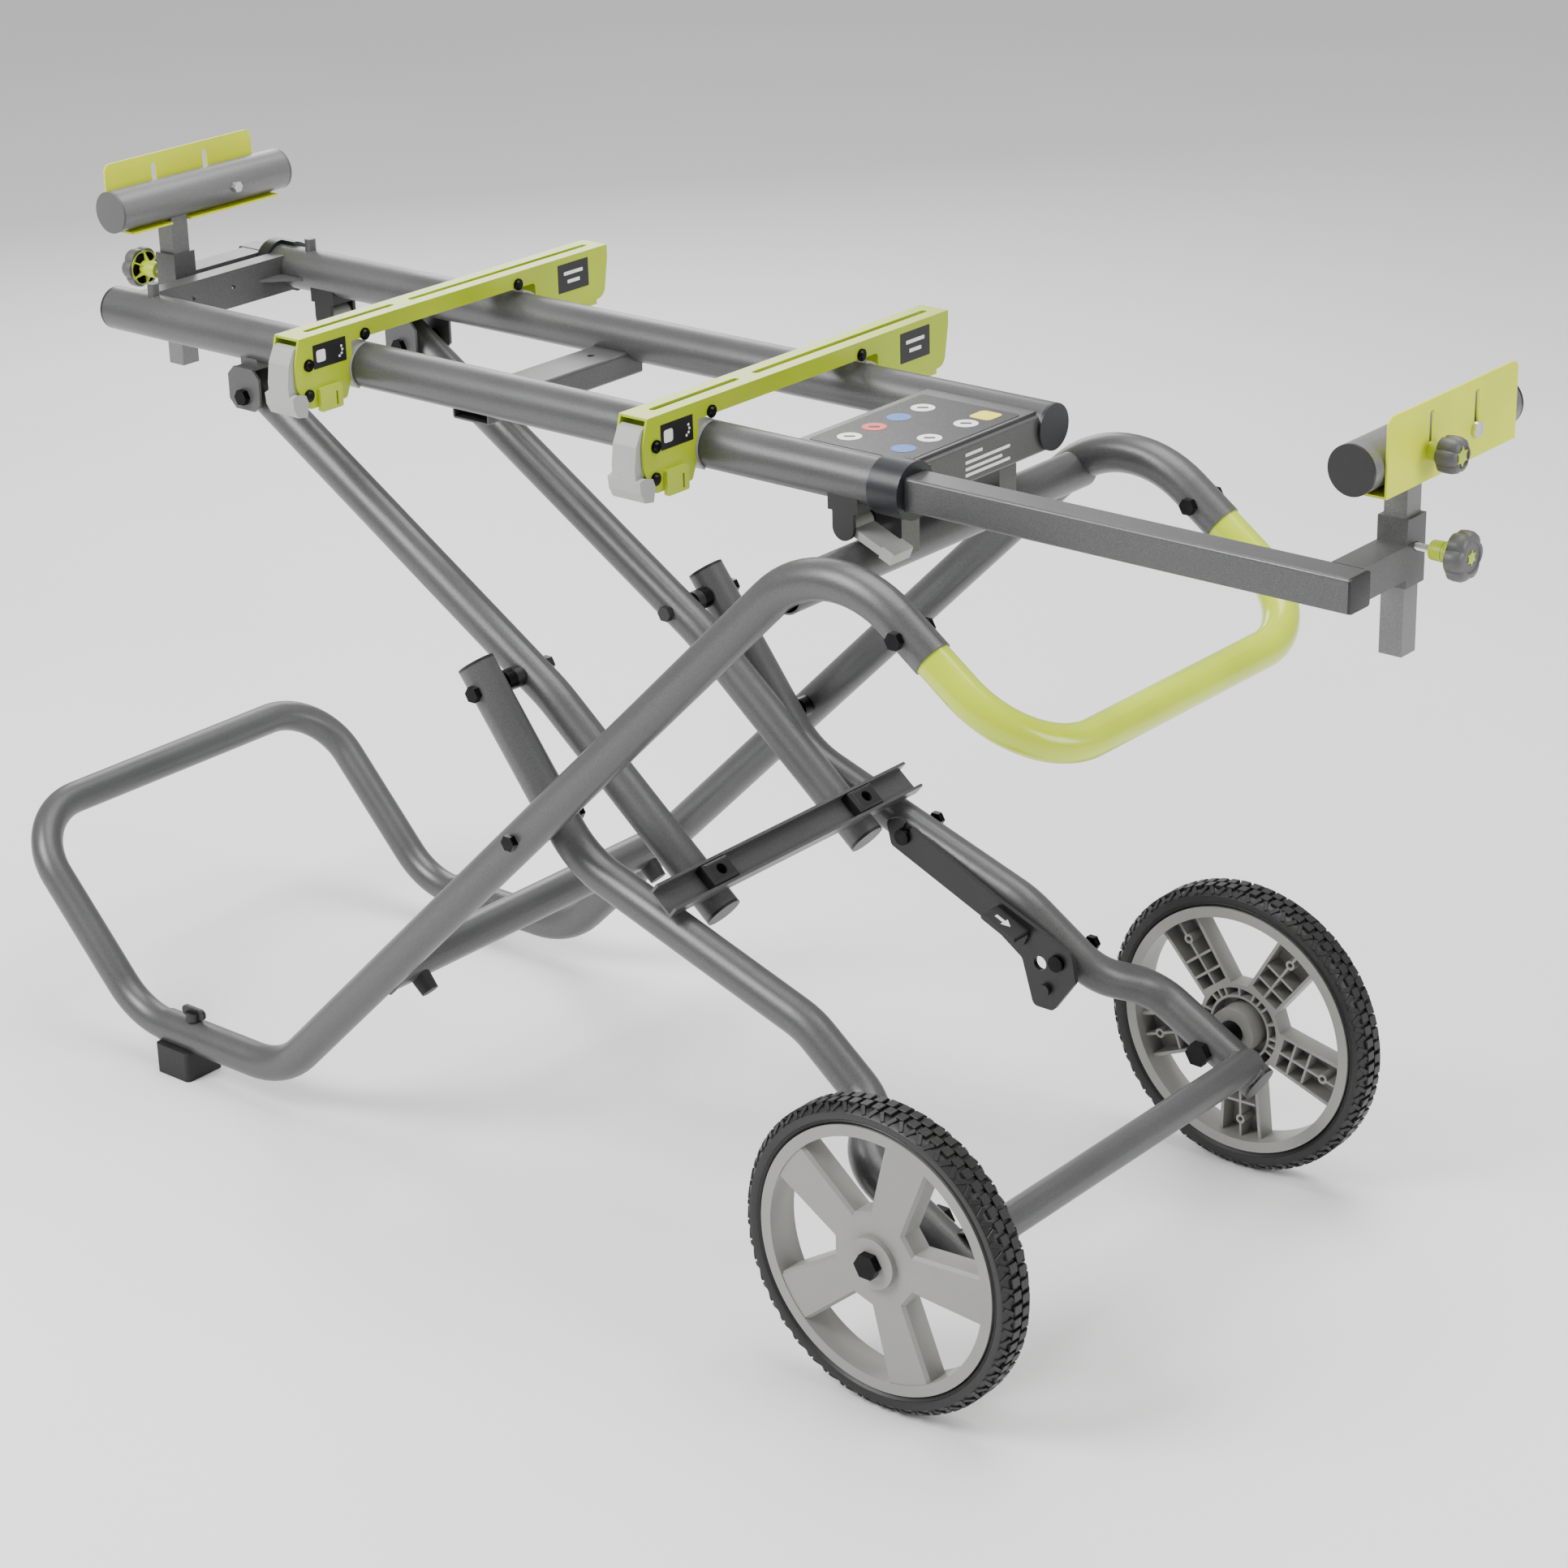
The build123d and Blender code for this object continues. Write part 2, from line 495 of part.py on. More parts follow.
# Each arm is clamped by a lever that hangs from a saddle under its rail.
LOCK_X = {"right": 274.0, "left": -622.0}
LOCK_Z = 761.0
LOCK_TILT = {"right": -22.0, "left": -142.0}     # direction of the lever at rest
LOCK_ROOM = 28.0
LOCK_HUB = 10.0
LOCK_REACH = 56.0
with BuildPart() as arm_lock_saddles:
    for hand, s in ARM_SIDE.items():
        y = s * RAIL_Y
        for wall_y in (y - LOCK_ROOM / 2 - 4.5, y + LOCK_ROOM / 2 + 0.5):
            block(LOCK_X[hand] - 12, LOCK_X[hand] + 12, wall_y, wall_y + 4, LOCK_Z, RAIL_Z - 8)
            bar(LOCK_X[hand], wall_y, wall_y + 4, LOCK_Z, 12.0)
        block(LOCK_X[hand] - 17, LOCK_X[hand] + 17, y - LOCK_ROOM / 2 - 4.5, y + LOCK_ROOM / 2 + 4.5,
              LOCK_Z + 15, RAIL_Z - 8)
        bar(LOCK_X[hand], y - LOCK_ROOM, y + LOCK_ROOM, LOCK_Z, 3.0, Mode.SUBTRACT)
        bar(LOCK_X[hand], y - LOCK_ROOM / 2 - 4.5, y + LOCK_ROOM / 2 + 4.5, LOCK_Z, 3.0)
    clear_rails()
save(arm_lock_saddles, "arm_lock_saddles")

for hand, s in ARM_SIDE.items():
    y = s * RAIL_Y
    with BuildPart() as arm_lever:
        with BuildSketch(across(LOCK_X[hand], y - LOCK_ROOM / 2, LOCK_Z)) as profile:
            Circle(LOCK_HUB)
            with Locations(Location((0, 0, 0), -LOCK_TILT[hand])):
                with Locations((LOCK_REACH / 2, 0)):
                    Rectangle(LOCK_REACH, 8.0)
                with Locations((LOCK_REACH - 7, 0)):
                    Rectangle(14.0, 12.0)
            Circle(3.0 + RUN, mode=Mode.SUBTRACT)
        extrude(profile.sketch, amount=LOCK_ROOM)
        fillet(arm_lever.edges().filter_by(Axis.Y).group_by(SortBy.DISTANCE)[-1], 2.0)
    save(arm_lever, f"arm_lever_{hand}")

# ---- wheel frame -----------------------------------------------------------------------
def frame_points(s):
    """Corners of one side of the wheel frame, from its top end to the wheel."""
    return [(FRAME_TOP[0], s * WHEEL_FRAME_Y, FRAME_TOP[1]), (FRAME_KNEE[0], s * WHEEL_FRAME_Y, FRAME_KNEE[1]),
            (FLARE_START[0], s * WHEEL_FRAME_Y, FLARE_START[1]), (FLARE_MID[0], s * FLARE_MID_Y, FLARE_MID[1]),
            (FLARE_END[0], s * WHEEL_FLARE_Y, FLARE_END[1]), (FRAME_END[0], s * WHEEL_FLARE_Y, FRAME_END[1])]


FRAME_BENDS = [LEG_BEND_R, FRAME_BEND_R, FLARE_BEND_R, FLARE_BEND_R]
LOCK_PIVOT = (317.0, 244.0)      # foot lock: pivot on the far side of the wheel frame
LOCK_PIN = (126.0, 331.0)        # guide bolt of its slot
FRAME_DOWN = unit(FLARE_END, FRAME_END)
FRAME_UP = unit(FRAME_KNEE, FRAME_TOP)

frame_space = {}
for side, s in SIDES.items():
    with BuildPart() as wheel_tube:
        tube(frame_points(s), FRAME_BENDS, LEG_D, LEG_WALL)
        bar(LEG_PIVOT[0], s * (WHEEL_FRAME_Y - LEG_D), s * (WHEEL_FRAME_Y + LEG_D), LEG_PIVOT[1],
            BOLT_R + RUN, Mode.SUBTRACT)
        bar(KNEE_PIVOT[0], s * (WHEEL_FRAME_Y - LEG_D), s * (WHEEL_FRAME_Y + LEG_D), KNEE_PIVOT[1],
            BOLT_R, Mode.SUBTRACT)
        bar(WHEEL_X, s * (WHEEL_FLARE_Y - LEG_D), s * (WHEEL_FLARE_Y + LEG_D), WHEEL_R, AXLE_R, Mode.SUBTRACT)
        if s > 0:
            bar(LOCK_PIVOT[0], WHEEL_FRAME_Y - LEG_D, WHEEL_FRAME_Y + LEG_D, LOCK_PIVOT[1], BOLT_R - 1,
                Mode.SUBTRACT)
            bar(LOCK_PIN[0], WHEEL_FRAME_Y - LEG_D, WHEEL_FRAME_Y + LEG_D, LOCK_PIN[1], BOLT_R - 1,
                Mode.SUBTRACT)
    save(wheel_tube, f"wheel_tube_{side}")
    with BuildPart() as solid_frame:
        tube(frame_points(s), FRAME_BENDS, LEG_D, 0)
    frame_space[side] = solid_frame.part

with BuildPart() as axle_cross_tube:
    bar(AXLE_TUBE[0], -WHEEL_FLARE_Y, WHEEL_FLARE_Y, AXLE_TUBE[1], AXLE_TUBE_D / 2)
    bar(AXLE_TUBE[0], -WHEEL_FLARE_Y, WHEEL_FLARE_Y, AXLE_TUBE[1], AXLE_TUBE_D / 2 - LEG_WALL, Mode.SUBTRACT)
    for side in SIDES:
        add(frame_space[side], mode=Mode.SUBTRACT)
save(axle_cross_tube, "axle_cross_tube")

with BuildPart() as wheel_frame_caps:
    for s in SIDES.values():
        end_disc(FRAME_TOP, FRAME_UP, s * WHEEL_FRAME_Y, LEG_R, TUBE_BORE, CAP_T, 12.0)
        end_disc(FRAME_END, FRAME_DOWN, s * WHEEL_FLARE_Y, LEG_R, TUBE_BORE, CAP_T, 12.0)
save(wheel_frame_caps, "wheel_frame_caps")

KNEE_Y = 140.2           # where the knee's bolt is open, half way between the two frames
hub_in = WHEEL_Y - HUB_W / 2
hub_out = WHEEL_Y + HUB_W / 2
with BuildPart() as wheel_frame_bolts:
    flare_in = WHEEL_FLARE_Y - LEG_R
    flare_out = WHEEL_FLARE_Y + LEG_R
    for s in SIDES.values():
        bar(WHEEL_X, s * flare_in, s * (hub_out + GAP), WHEEL_R, AXLE_R)
        hexagon(WHEEL_X, s * (flare_in - 9), s * flare_in, WHEEL_R, 13.0)
        hexagon(WHEEL_X, s * (hub_out + GAP), s * (hub_out + GAP + 8), WHEEL_R, 13.0)
        bar(WHEEL_X, s * flare_out, s * (hub_in - GAP), WHEEL_R, 13.0)
        bar(KNEE_PIVOT[0], s * (KNEE_Y + GAP / 2), s * frame_outer, KNEE_PIVOT[1], BOLT_R)
        bar(KNEE_PIVOT[0], s * (KNEE_Y + GAP / 2), s * frame_inner, KNEE_PIVOT[1], SPACER_R)
        hexagon(KNEE_PIVOT[0], s * frame_outer, s * (frame_outer + HEAD_H), KNEE_PIVOT[1], HEAD_R)
    bar(LOCK_PIN[0], frame_inner - 14, frame_outer, LOCK_PIN[1], BOLT_R - 1)
    bar(LOCK_PIN[0], frame_inner - 18, frame_inner - 14, LOCK_PIN[1], HEAD_R)
    bar(LOCK_PIN[0], frame_inner - 14 + 6 + 2 * GAP, frame_inner, LOCK_PIN[1], BOLT_R + 1)
    hexagon(LOCK_PIN[0], frame_outer, frame_outer + HEAD_H, LOCK_PIN[1], HEAD_R)
    bar(LOCK_PIVOT[0], frame_inner - 14, frame_outer + 4, LOCK_PIVOT[1], BOLT_R - 1)
    bar(LOCK_PIVOT[0], frame_inner - 18, frame_inner - 14, LOCK_PIVOT[1], HEAD_R)
    bar(LOCK_PIVOT[0], frame_inner - 14 + 6 + 2 * GAP, frame_inner + 3, LOCK_PIVOT[1], BOLT_R + 3)
    hexagon(LOCK_PIVOT[0], frame_outer + 4, frame_outer + 4 + HEAD_H, LOCK_PIVOT[1], HEAD_R)
    add(frame_space["far"], mode=Mode.SUBTRACT)
    for x, z in (LOCK_PIN, LOCK_PIVOT):
        bar(x, frame_inner - 12, frame_outer + 4, z, BOLT_R - 1)
    for s in SIDES.values():
        bar(WHEEL_X, s * flare_in, s * flare_out, WHEEL_R, AXLE_R)
        bar(KNEE_PIVOT[0], s * frame_inner, s * frame_outer, KNEE_PIVOT[1], BOLT_R)
save(wheel_frame_bolts, "wheel_frame_bolts")

# Foot lock: a bent flat bar with a slot over its guide bolt, and a pedal pad.
LOCK_Y = frame_inner - 14 + GAP      # near face of the bar
LOCK_T = 5.5
LOCK_SWING = 3.4                     # degrees the pedal can be pressed
LOCK_LINE = unit(LOCK_PIVOT, LOCK_PIN)
LOCK_ARM = hypot(LOCK_PIVOT[0] - LOCK_PIN[0], LOCK_PIVOT[1] - LOCK_PIN[1])
SLOT_RISE = LOCK_ARM * radians(LOCK_SWING) + 0.6
LOCK_TAIL = (299.0, 196.0)
PEDAL = (263.0, 272.0)
with BuildPart() as lock_bar:
    with BuildSketch(across(0, LOCK_Y, 0)) as outline:
        with BuildLine():
            FilletPolyline((110, -318), (236, -264), (274, -238), (288, -190), (312, -190), (339, -228),
                           (334, -256), (302, -270), (246, -292), (120, -350), (104, -344),
                           radius=7.0, close=True)
        make_face()
        with Locations((296.0, -238.0)):
            Circle(7.5, mode=Mode.SUBTRACT)
        with Locations((LOCK_PIVOT[0], -LOCK_PIVOT[1])):
            Circle(BOLT_R - 1 + RUN, mode=Mode.SUBTRACT)
        slot_mid = (LOCK_PIN[0] + 0.5 * SLOT_RISE * LOCK_LINE[1], -LOCK_PIN[1] + 0.5 * SLOT_RISE * LOCK_LINE[0], 0)
        with Locations(Location(slot_mid, degrees(atan2(LOCK_LINE[0], LOCK_LINE[1])))):
            SlotCenterToCenter(SLOT_RISE, 2 * BOLT_R - 1.2, mode=Mode.SUBTRACT)
    extrude(outline.sketch, amount=LOCK_T)
    bar(304.0, LOCK_Y - 5, LOCK_Y, 212.0, 6.0)
save(lock_bar, "lock_bar")

with BuildPart() as lock_pedal_pad:
    with BuildSketch(across(PEDAL[0], LOCK_Y - 26, PEDAL[1])) as pad:
        with Locations(Location((0, -4, 0), 24.0)):
            RectangleRounded(44.0, 6.0, 2.5)
    extrude(pad.sketch, amount=26.0)
    with BuildSketch(across(PEDAL[0], LOCK_Y - 4, PEDAL[1])) as root:
        with Locations(Location((0, 4, 0), 24.0)):
            RectangleRounded(40.0, 16.0, 3.0)
    extrude(root.sketch, amount=4.0)
save(lock_pedal_pad, "lock_pedal_pad")

# ---- link frame ----------------------------------------------------------------------------
LINK_DOWN = unit(LINK_PIVOT, LINK_BEND)
LINK_TAIL = unit(LINK_BEND, LINK_END)
LINK_START = (LINK_PIVOT[0] - LINK_OVERRUN * LINK_DOWN[0], LINK_PIVOT[1] - LINK_OVERRUN * LINK_DOWN[1])
link_space = {}
for side, s in SIDES.items():
    y = s * LINK_Y
    corners = [(LINK_START[0], y, LINK_START[1]), (LINK_BEND[0], y, LINK_BEND[1]), (LINK_END[0], y, LINK_END[1])]
    with BuildPart() as link_tube:
        tube(corners, [LINK_BEND_R], LEG_D, LEG_WALL)
        bar(LINK_PIVOT[0], y - LEG_D, y + LEG_D, LINK_PIVOT[1], BOLT_R + RUN, Mode.SUBTRACT)
        bar(KNEE_PIVOT[0], y - LEG_D, y + LEG_D, KNEE_PIVOT[1], BOLT_R, Mode.SUBTRACT)
    save(link_tube, f"link_tube_{side}")
    with BuildPart() as solid_link:
        tube(corners, [LINK_BEND_R], LEG_D, 0)
    link_space[side] = solid_link.part

REST_NORMAL = (-LINK_TAIL[1], LINK_TAIL[0])
along_link = (REST_SPOT[0] - LINK_END[0]) * LINK_TAIL[0] + (REST_SPOT[1] - LINK_END[1]) * LINK_TAIL[1]
REST_BASE = (LINK_END[0] + along_link * LINK_TAIL[0] + LEG_R * REST_NORMAL[0],
             LINK_END[1] + along_link * LINK_TAIL[1] + LEG_R * REST_NORMAL[1])
rest_plane = Plane(origin=(REST_BASE[0], 0, REST_BASE[1]), x_dir=(LINK_TAIL[0], 0, LINK_TAIL[1]),
                   z_dir=(REST_NORMAL[0], 0, REST_NORMAL[1]))
with BuildPart(rest_plane) as rest_channel:
    Box(REST_W, 2 * REST_HALF, REST_T, align=(Align.CENTER, Align.CENTER, Align.MIN))
    for edge in (-1, 1):
        with Locations((edge * (REST_W - REST_T) / 2, 0, 0)):
            Box(REST_T, 2 * REST_HALF, REST_T + REST_LIP, align=(Align.CENTER, Align.CENTER, Align.MIN))
    for side in SIDES:
        add(link_space[side], mode=Mode.SUBTRACT)
save(rest_channel, "rest_channel")

SADDLE_L = 36.0
with BuildPart(rest_plane.offset(REST_T)) as rest_saddles:
    with Locations((0, -RAIL_Y, 0), (0, RAIL_Y, 0)):
        Box(REST_W - 2 * REST_T - 1, SADDLE_L, REST_LIP + 3, align=(Align.CENTER, Align.CENTER, Align.MIN))
    fillet(rest_saddles.faces().sort_by(Axis(origin=(0, 0, 0), direction=rest_plane.z_dir))[-2:].edges(), 5.0)
    with Locations((0, -RAIL_Y, REST_LIP), (0, RAIL_Y, REST_LIP)):
        Cylinder(6.0, 12.0, mode=Mode.SUBTRACT)
save(rest_saddles, "rest_saddles")

with BuildPart() as link_frame_fittings:
    link_in = LINK_Y - LEG_R
    link_out = LINK_Y + LEG_R
    for s in SIDES.values():
        end_disc(LINK_START, (-LINK_DOWN[0], -LINK_DOWN[1]), s * LINK_Y, LEG_R - 2, TUBE_BORE, 2.0, 8.0)
        end_disc(LINK_END, LINK_TAIL, s * LINK_Y, LEG_R, TUBE_BORE, CAP_T, 12.0)
        bar(KNEE_PIVOT[0], s * link_in, s * (KNEE_Y - GAP / 2), KNEE_PIVOT[1], BOLT_R)
        bar(KNEE_PIVOT[0], s * link_out, s * (KNEE_Y - GAP / 2), KNEE_PIVOT[1], SPACER_R)
        hexagon(KNEE_PIVOT[0], s * (link_in - HEAD_H), s * link_in, KNEE_PIVOT[1], HEAD_R)
save(link_frame_fittings, "link_frame_fittings")

# ---- wheels ----------------------------------------------------------------------------------
RIM_SEAT = RIM_R - 2.5           # the tyre sits in the rim's shallow groove
SPOKE_ROOT = 40.0                # width of a spoke at the hub and at the rim
SPOKE_TIP = 50.0
SPOKE_DEPTH = 24.0               # a spoke is a shell, open towards the frame
SHELL_T = 4.0
RIB_T = 2.5
HUB_FLAT = 47.0                  # hub plate, from the axle to its five flats
SPOKE_TURN = {"near": 0.0, "far": 16.0}


def spoke(x0, x1, inset):
    """Outline of one spoke from radius x0 to x1, drawn in by inset on each side."""
    def half(x):
        share = (x - HUB_FLAT) / (RIM_R - RIM_BAND - HUB_FLAT)
        return (SPOKE_ROOT + share * (SPOKE_TIP - SPOKE_ROOT)) / 2 - inset
    Polygon((x0, -half(x0)), (x1, -half(x1)), (x1, half(x1)), (x0, half(x0)), align=None)


def lathe(points, y):
    """Turn an outline of (radius, offset along Y) about the wheel's axle."""
    middle = (WHEEL_X, y, WHEEL_R)
    with BuildSketch(Plane(origin=middle, x_dir=(1, 0, 0), z_dir=(0, 0, 1))) as outline:
        with BuildLine():
            Polyline(*points, close=True)
        make_face()
    revolve(outline.sketch, Axis(origin=middle, direction=(0, 1, 0)))


for side, s in SIDES.items():
    wheel = across(WHEEL_X, s * WHEEL_Y, WHEEL_R)
    face = wheel.offset(s * (RIM_W / 2 - 1))
    band_in = RIM_R - RIM_BAND
    turn = SPOKE_TURN[side]
    with BuildPart(wheel) as rim:
        with BuildSketch(face) as shell:
            RegularPolygon(HUB_FLAT / cos(radians(36)), SPOKES, rotation=turn)
            with PolarLocations(0, SPOKES, start_angle=turn):
                spoke(20.0, band_in + 3, 0)
        extrude(shell.sketch, amount=-s * SPOKE_DEPTH)
        chamfer(rim.faces().sort_by(Axis.Y)[0 if s < 0 else -1].edges(), 3.0)
        with BuildSketch(wheel.offset(s * (RIM_W / 2 - 1 - SPOKE_DEPTH))) as pockets:
            with PolarLocations(0, SPOKES, start_angle=turn):
                spoke(HUB_FLAT + 3, band_in + 1, 3.5)
            Circle(HUB_FLAT - 4)
        extrude(pockets.sketch, amount=s * (SPOKE_DEPTH - SHELL_T), mode=Mode.SUBTRACT)
        with BuildSketch(wheel.offset(s * (RIM_W / 2 - 1 - SPOKE_DEPTH))) as ribs:
            with PolarLocations(0, SPOKES, start_angle=turn):
                Polygon((28, -RIB_T / 2), (band_in + 1, -RIB_T / 2), (band_in + 1, RIB_T / 2), (28, RIB_T / 2),
                        align=None)
                for radius in (64.0, 82.0):
                    with Locations((radius, 0)):
                        Rectangle(RIB_T, SPOKE_ROOT - 4)
                with Locations((102.0, 0)):
                    Circle(5.0)
                    Circle(2.6, mode=Mode.SUBTRACT)
            with PolarLocations(0, 3 * SPOKES, start_angle=turn + 12):
                Polygon((22, -RIB_T / 2), (HUB_FLAT - 3, -RIB_T / 2), (HUB_FLAT - 3, RIB_T / 2), (22, RIB_T / 2),
                        align=None)
            Circle(35.0)
            Circle(35.0 - RIB_T, mode=Mode.SUBTRACT)
        extrude(ribs.sketch, amount=s * (SPOKE_DEPTH - 2))
        lathe([(band_in, -RIM_W / 2), (RIM_R, -RIM_W / 2), (RIM_R, -RIM_W / 2 + 3), (RIM_SEAT, -RIM_W / 2 + 6),
               (RIM_SEAT, RIM_W / 2 - 6), (RIM_R, RIM_W / 2 - 3), (RIM_R, RIM_W / 2), (band_in, RIM_W / 2)],
              s * WHEEL_Y)
        Cylinder(HUB_R, HUB_W)
        Cylinder(AXLE_R + RUN, HUB_W + 2, mode=Mode.SUBTRACT)
    save(rim, f"rim_{side}")
    with BuildPart() as tyre:
        lathe([(RIM_SEAT, -RIM_W / 2 + 6), (RIM_R, -RIM_W / 2 + 3), (RIM_R + 6, -TYRE_W / 2),
               (WHEEL_R - 7, -TYRE_W / 2), (WHEEL_R, -TYRE_W / 2 + 8), (WHEEL_R, TYRE_W / 2 - 8),
               (WHEEL_R - 7, TYRE_W / 2), (RIM_R + 6, TYRE_W / 2), (RIM_R, RIM_W / 2 - 3),
               (RIM_SEAT, RIM_W / 2 - 6)], s * WHEEL_Y)
    save(tyre, f"tyre_{side}")

# ---- extension arms and work supports ------------------------------------------------------
def arm_frame(hand):
    """Middle of the sleeve, the way outwards along X, the arm's Y and the way to its rail."""
    if hand == "right":
        return ARM_RIGHT_END - ARM_TIP, 1, -RAIL_Y, -1
    return ARM_LEFT_END + ARM_TIP, -1, RAIL_Y, 1


for hand in ARM_SIDE:
    sleeve_x, out, arm_y, s = arm_frame(hand)
    tip = sleeve_x + out * ARM_TIP
    hole = POST_W / 2 + RUN
    with BuildPart() as arm:
        block(tip - out * ARM_L, tip, arm_y - ARM_W / 2, arm_y + ARM_W / 2, RAIL_Z - ARM_W / 2, RAIL_Z + ARM_W / 2)
        fillet(arm.edges().filter_by(Axis.X), ARM_EDGE_R)
        inside = ARM_W / 2 - ARM_WALL
        block(tip - out * ARM_L, tip, arm_y - inside, arm_y + inside, RAIL_Z - inside, RAIL_Z + inside,
              Mode.SUBTRACT)
        block(sleeve_x - BRANCH_W / 2, sleeve_x + BRANCH_W / 2, s * (RAIL_Y - ARM_W / 2), POST_Y,
              RAIL_Z - BRANCH_W / 2, RAIL_Z + BRANCH_W / 2)
        block(sleeve_x - SLEEVE_W / 2, sleeve_x + SLEEVE_W / 2, POST_Y - SLEEVE_W / 2, POST_Y + SLEEVE_W / 2,
              SLEEVE_LOW, SLEEVE_HIGH)
        block(sleeve_x - hole, sleeve_x + hole, POST_Y - hole, POST_Y + hole, SLEEVE_LOW - 1, SLEEVE_HIGH + 1,
              Mode.SUBTRACT)
        rod(sleeve_x, sleeve_x + out * SLEEVE_W, POST_Y, RAIL_Z + 11, BOLT_R - 1 + RUN, Mode.SUBTRACT)
    save(arm, f"arm_{hand}")

    with BuildPart() as post:
        half = POST_W / 2
        block(sleeve_x - half, sleeve_x + half, POST_Y - half, POST_Y + half, POST_LOW, SUPPORT_Z)
        block(sleeve_x - half + 2, sleeve_x + half - 2, POST_Y - half + 2, POST_Y + half - 2, POST_LOW - 1,
              SUPPORT_Z, Mode.SUBTRACT)
        low = POST_Y + SUPPORT_SHIFT - SUPPORT_L / 2
        bar(sleeve_x, low, low + SUPPORT_L, SUPPORT_Z, SUPPORT_D / 2)
        bar(sleeve_x, low, low + SUPPORT_L, SUPPORT_Z, SUPPORT_D / 2 - 1.5, Mode.SUBTRACT)
        rod(sleeve_x, sleeve_x + out * SUPPORT_D, POST_Y, SUPPORT_Z, BOLT_R - 2 + RUN, Mode.SUBTRACT)
        rod(sleeve_x - SUPPORT_D, sleeve_x + SUPPORT_D, POST_Y + SLOT_STEP, SUPPORT_Z, BOLT_R - 2,
            Mode.SUBTRACT)
    save(post, f"post_{hand}")

    with BuildPart() as support_caps:
        for end_y, way in ((low, -1), (low + SUPPORT_L, 1)):
            bar(sleeve_x, end_y, end_y + way * CAP_T, SUPPORT_Z, SUPPORT_D / 2)
            bar(sleeve_x, end_y, end_y - way * 10, SUPPORT_Z, SUPPORT_D / 2 - 1.5)
    save(support_caps, f"support_caps_{hand}")

    plate_in = sleeve_x + out * (SUPPORT_D / 2 + GAP)
    plate_out = plate_in + out * STOP_T
    with BuildPart() as carriage_bolt:
        y = POST_Y + SLOT_STEP
        rod(sleeve_x - out * SUPPORT_D / 2, plate_out + out * GAP, y, SUPPORT_Z, BOLT_R - 2)
        rod(plate_out + out * GAP, plate_out + out * (GAP + 3), y, SUPPORT_Z, 7.0)
        with BuildSketch(along(sleeve_x - out * SUPPORT_D / 2, y, SUPPORT_Z)) as nut:
            RegularPolygon(6.0, 6)
        extrude(nut.sketch, amount=-out * 6.0)
    save(carriage_bolt, f"carriage_bolt_{hand}")

    foot_z = SUPPORT_Z - SUPPORT_D / 2 - STOP_DROP
    with BuildPart() as stop_plate:
        mid_y = POST_Y + SUPPORT_SHIFT
        block(plate_in, plate_out, mid_y - STOP_L / 2, mid_y + STOP_L / 2, foot_z, STOP_HIGH)
        block(plate_out, plate_out - out * STOP_LIP, mid_y - STOP_L / 2, mid_y + STOP_L / 2, foot_z,
              foot_z + STOP_T)
        fillet(stop_plate.edges().filter_by(Axis.X).group_by(Axis.Z)[-1], 8.0)
        chamfer(stop_plate.edges().filter_by(Axis.Z).group_by(SortBy.DISTANCE)[-1], 0.5)
        for shift in (0, SLOT_STEP):
            with BuildSketch(along(min(plate_in, plate_out), POST_Y + shift, SUPPORT_Z + STOP_SLOT / 2)) as slot:
                SlotCenterToCenter(STOP_SLOT, SLOT_W, rotation=90)
            extrude(slot.sketch, amount=STOP_T, mode=Mode.SUBTRACT)
        notch = POST_W / 2 + 1.5
        block(plate_in - out * 8.0, sleeve_x - out * STOP_LIP, POST_Y - notch, POST_Y + notch, foot_z - 1,
              foot_z + STOP_T + 1, Mode.SUBTRACT)
    save(stop_plate, f"stop_plate_{hand}")

    with BuildPart() as plate_knob:
        knob_in = plate_out + out * GAP
        rod(sleeve_x + out * (SUPPORT_D / 2 - 8), knob_in, POST_Y, SUPPORT_Z, BOLT_R - 2)
        rod(knob_in, knob_in + out * 10, POST_Y, SUPPORT_Z, 8.0)
        rod(knob_in + out * 10, knob_in + out * 30, POST_Y, SUPPORT_Z, PLATE_KNOB_R)
        fillet(plate_knob.edges().filter_by(GeomType.CIRCLE).group_by(Axis.X)[-1 if out > 0 else 0], 4.0)
    save(plate_knob, f"plate_knob_{hand}")

    with BuildPart() as sleeve_knob:
        face = sleeve_x + out * (SLEEVE_W / 2 + GAP + 0.5)
        rod(sleeve_x + out * (hole + 0.4), face, POST_Y, RAIL_Z + 11, BOLT_R - 1)
        rod(face, sleeve_x + out * (KNOB_END - 26), POST_Y, RAIL_Z + 11, 8.0)
        rod(sleeve_x + out * (KNOB_END - 26), sleeve_x + out * KNOB_END, POST_Y, RAIL_Z + 11, SLEEVE_KNOB_R)
        fillet(sleeve_knob.edges().filter_by(GeomType.CIRCLE).group_by(Axis.X)[-1 if out > 0 else 0], 6.0)
    save(sleeve_knob, f"sleeve_knob_{hand}")

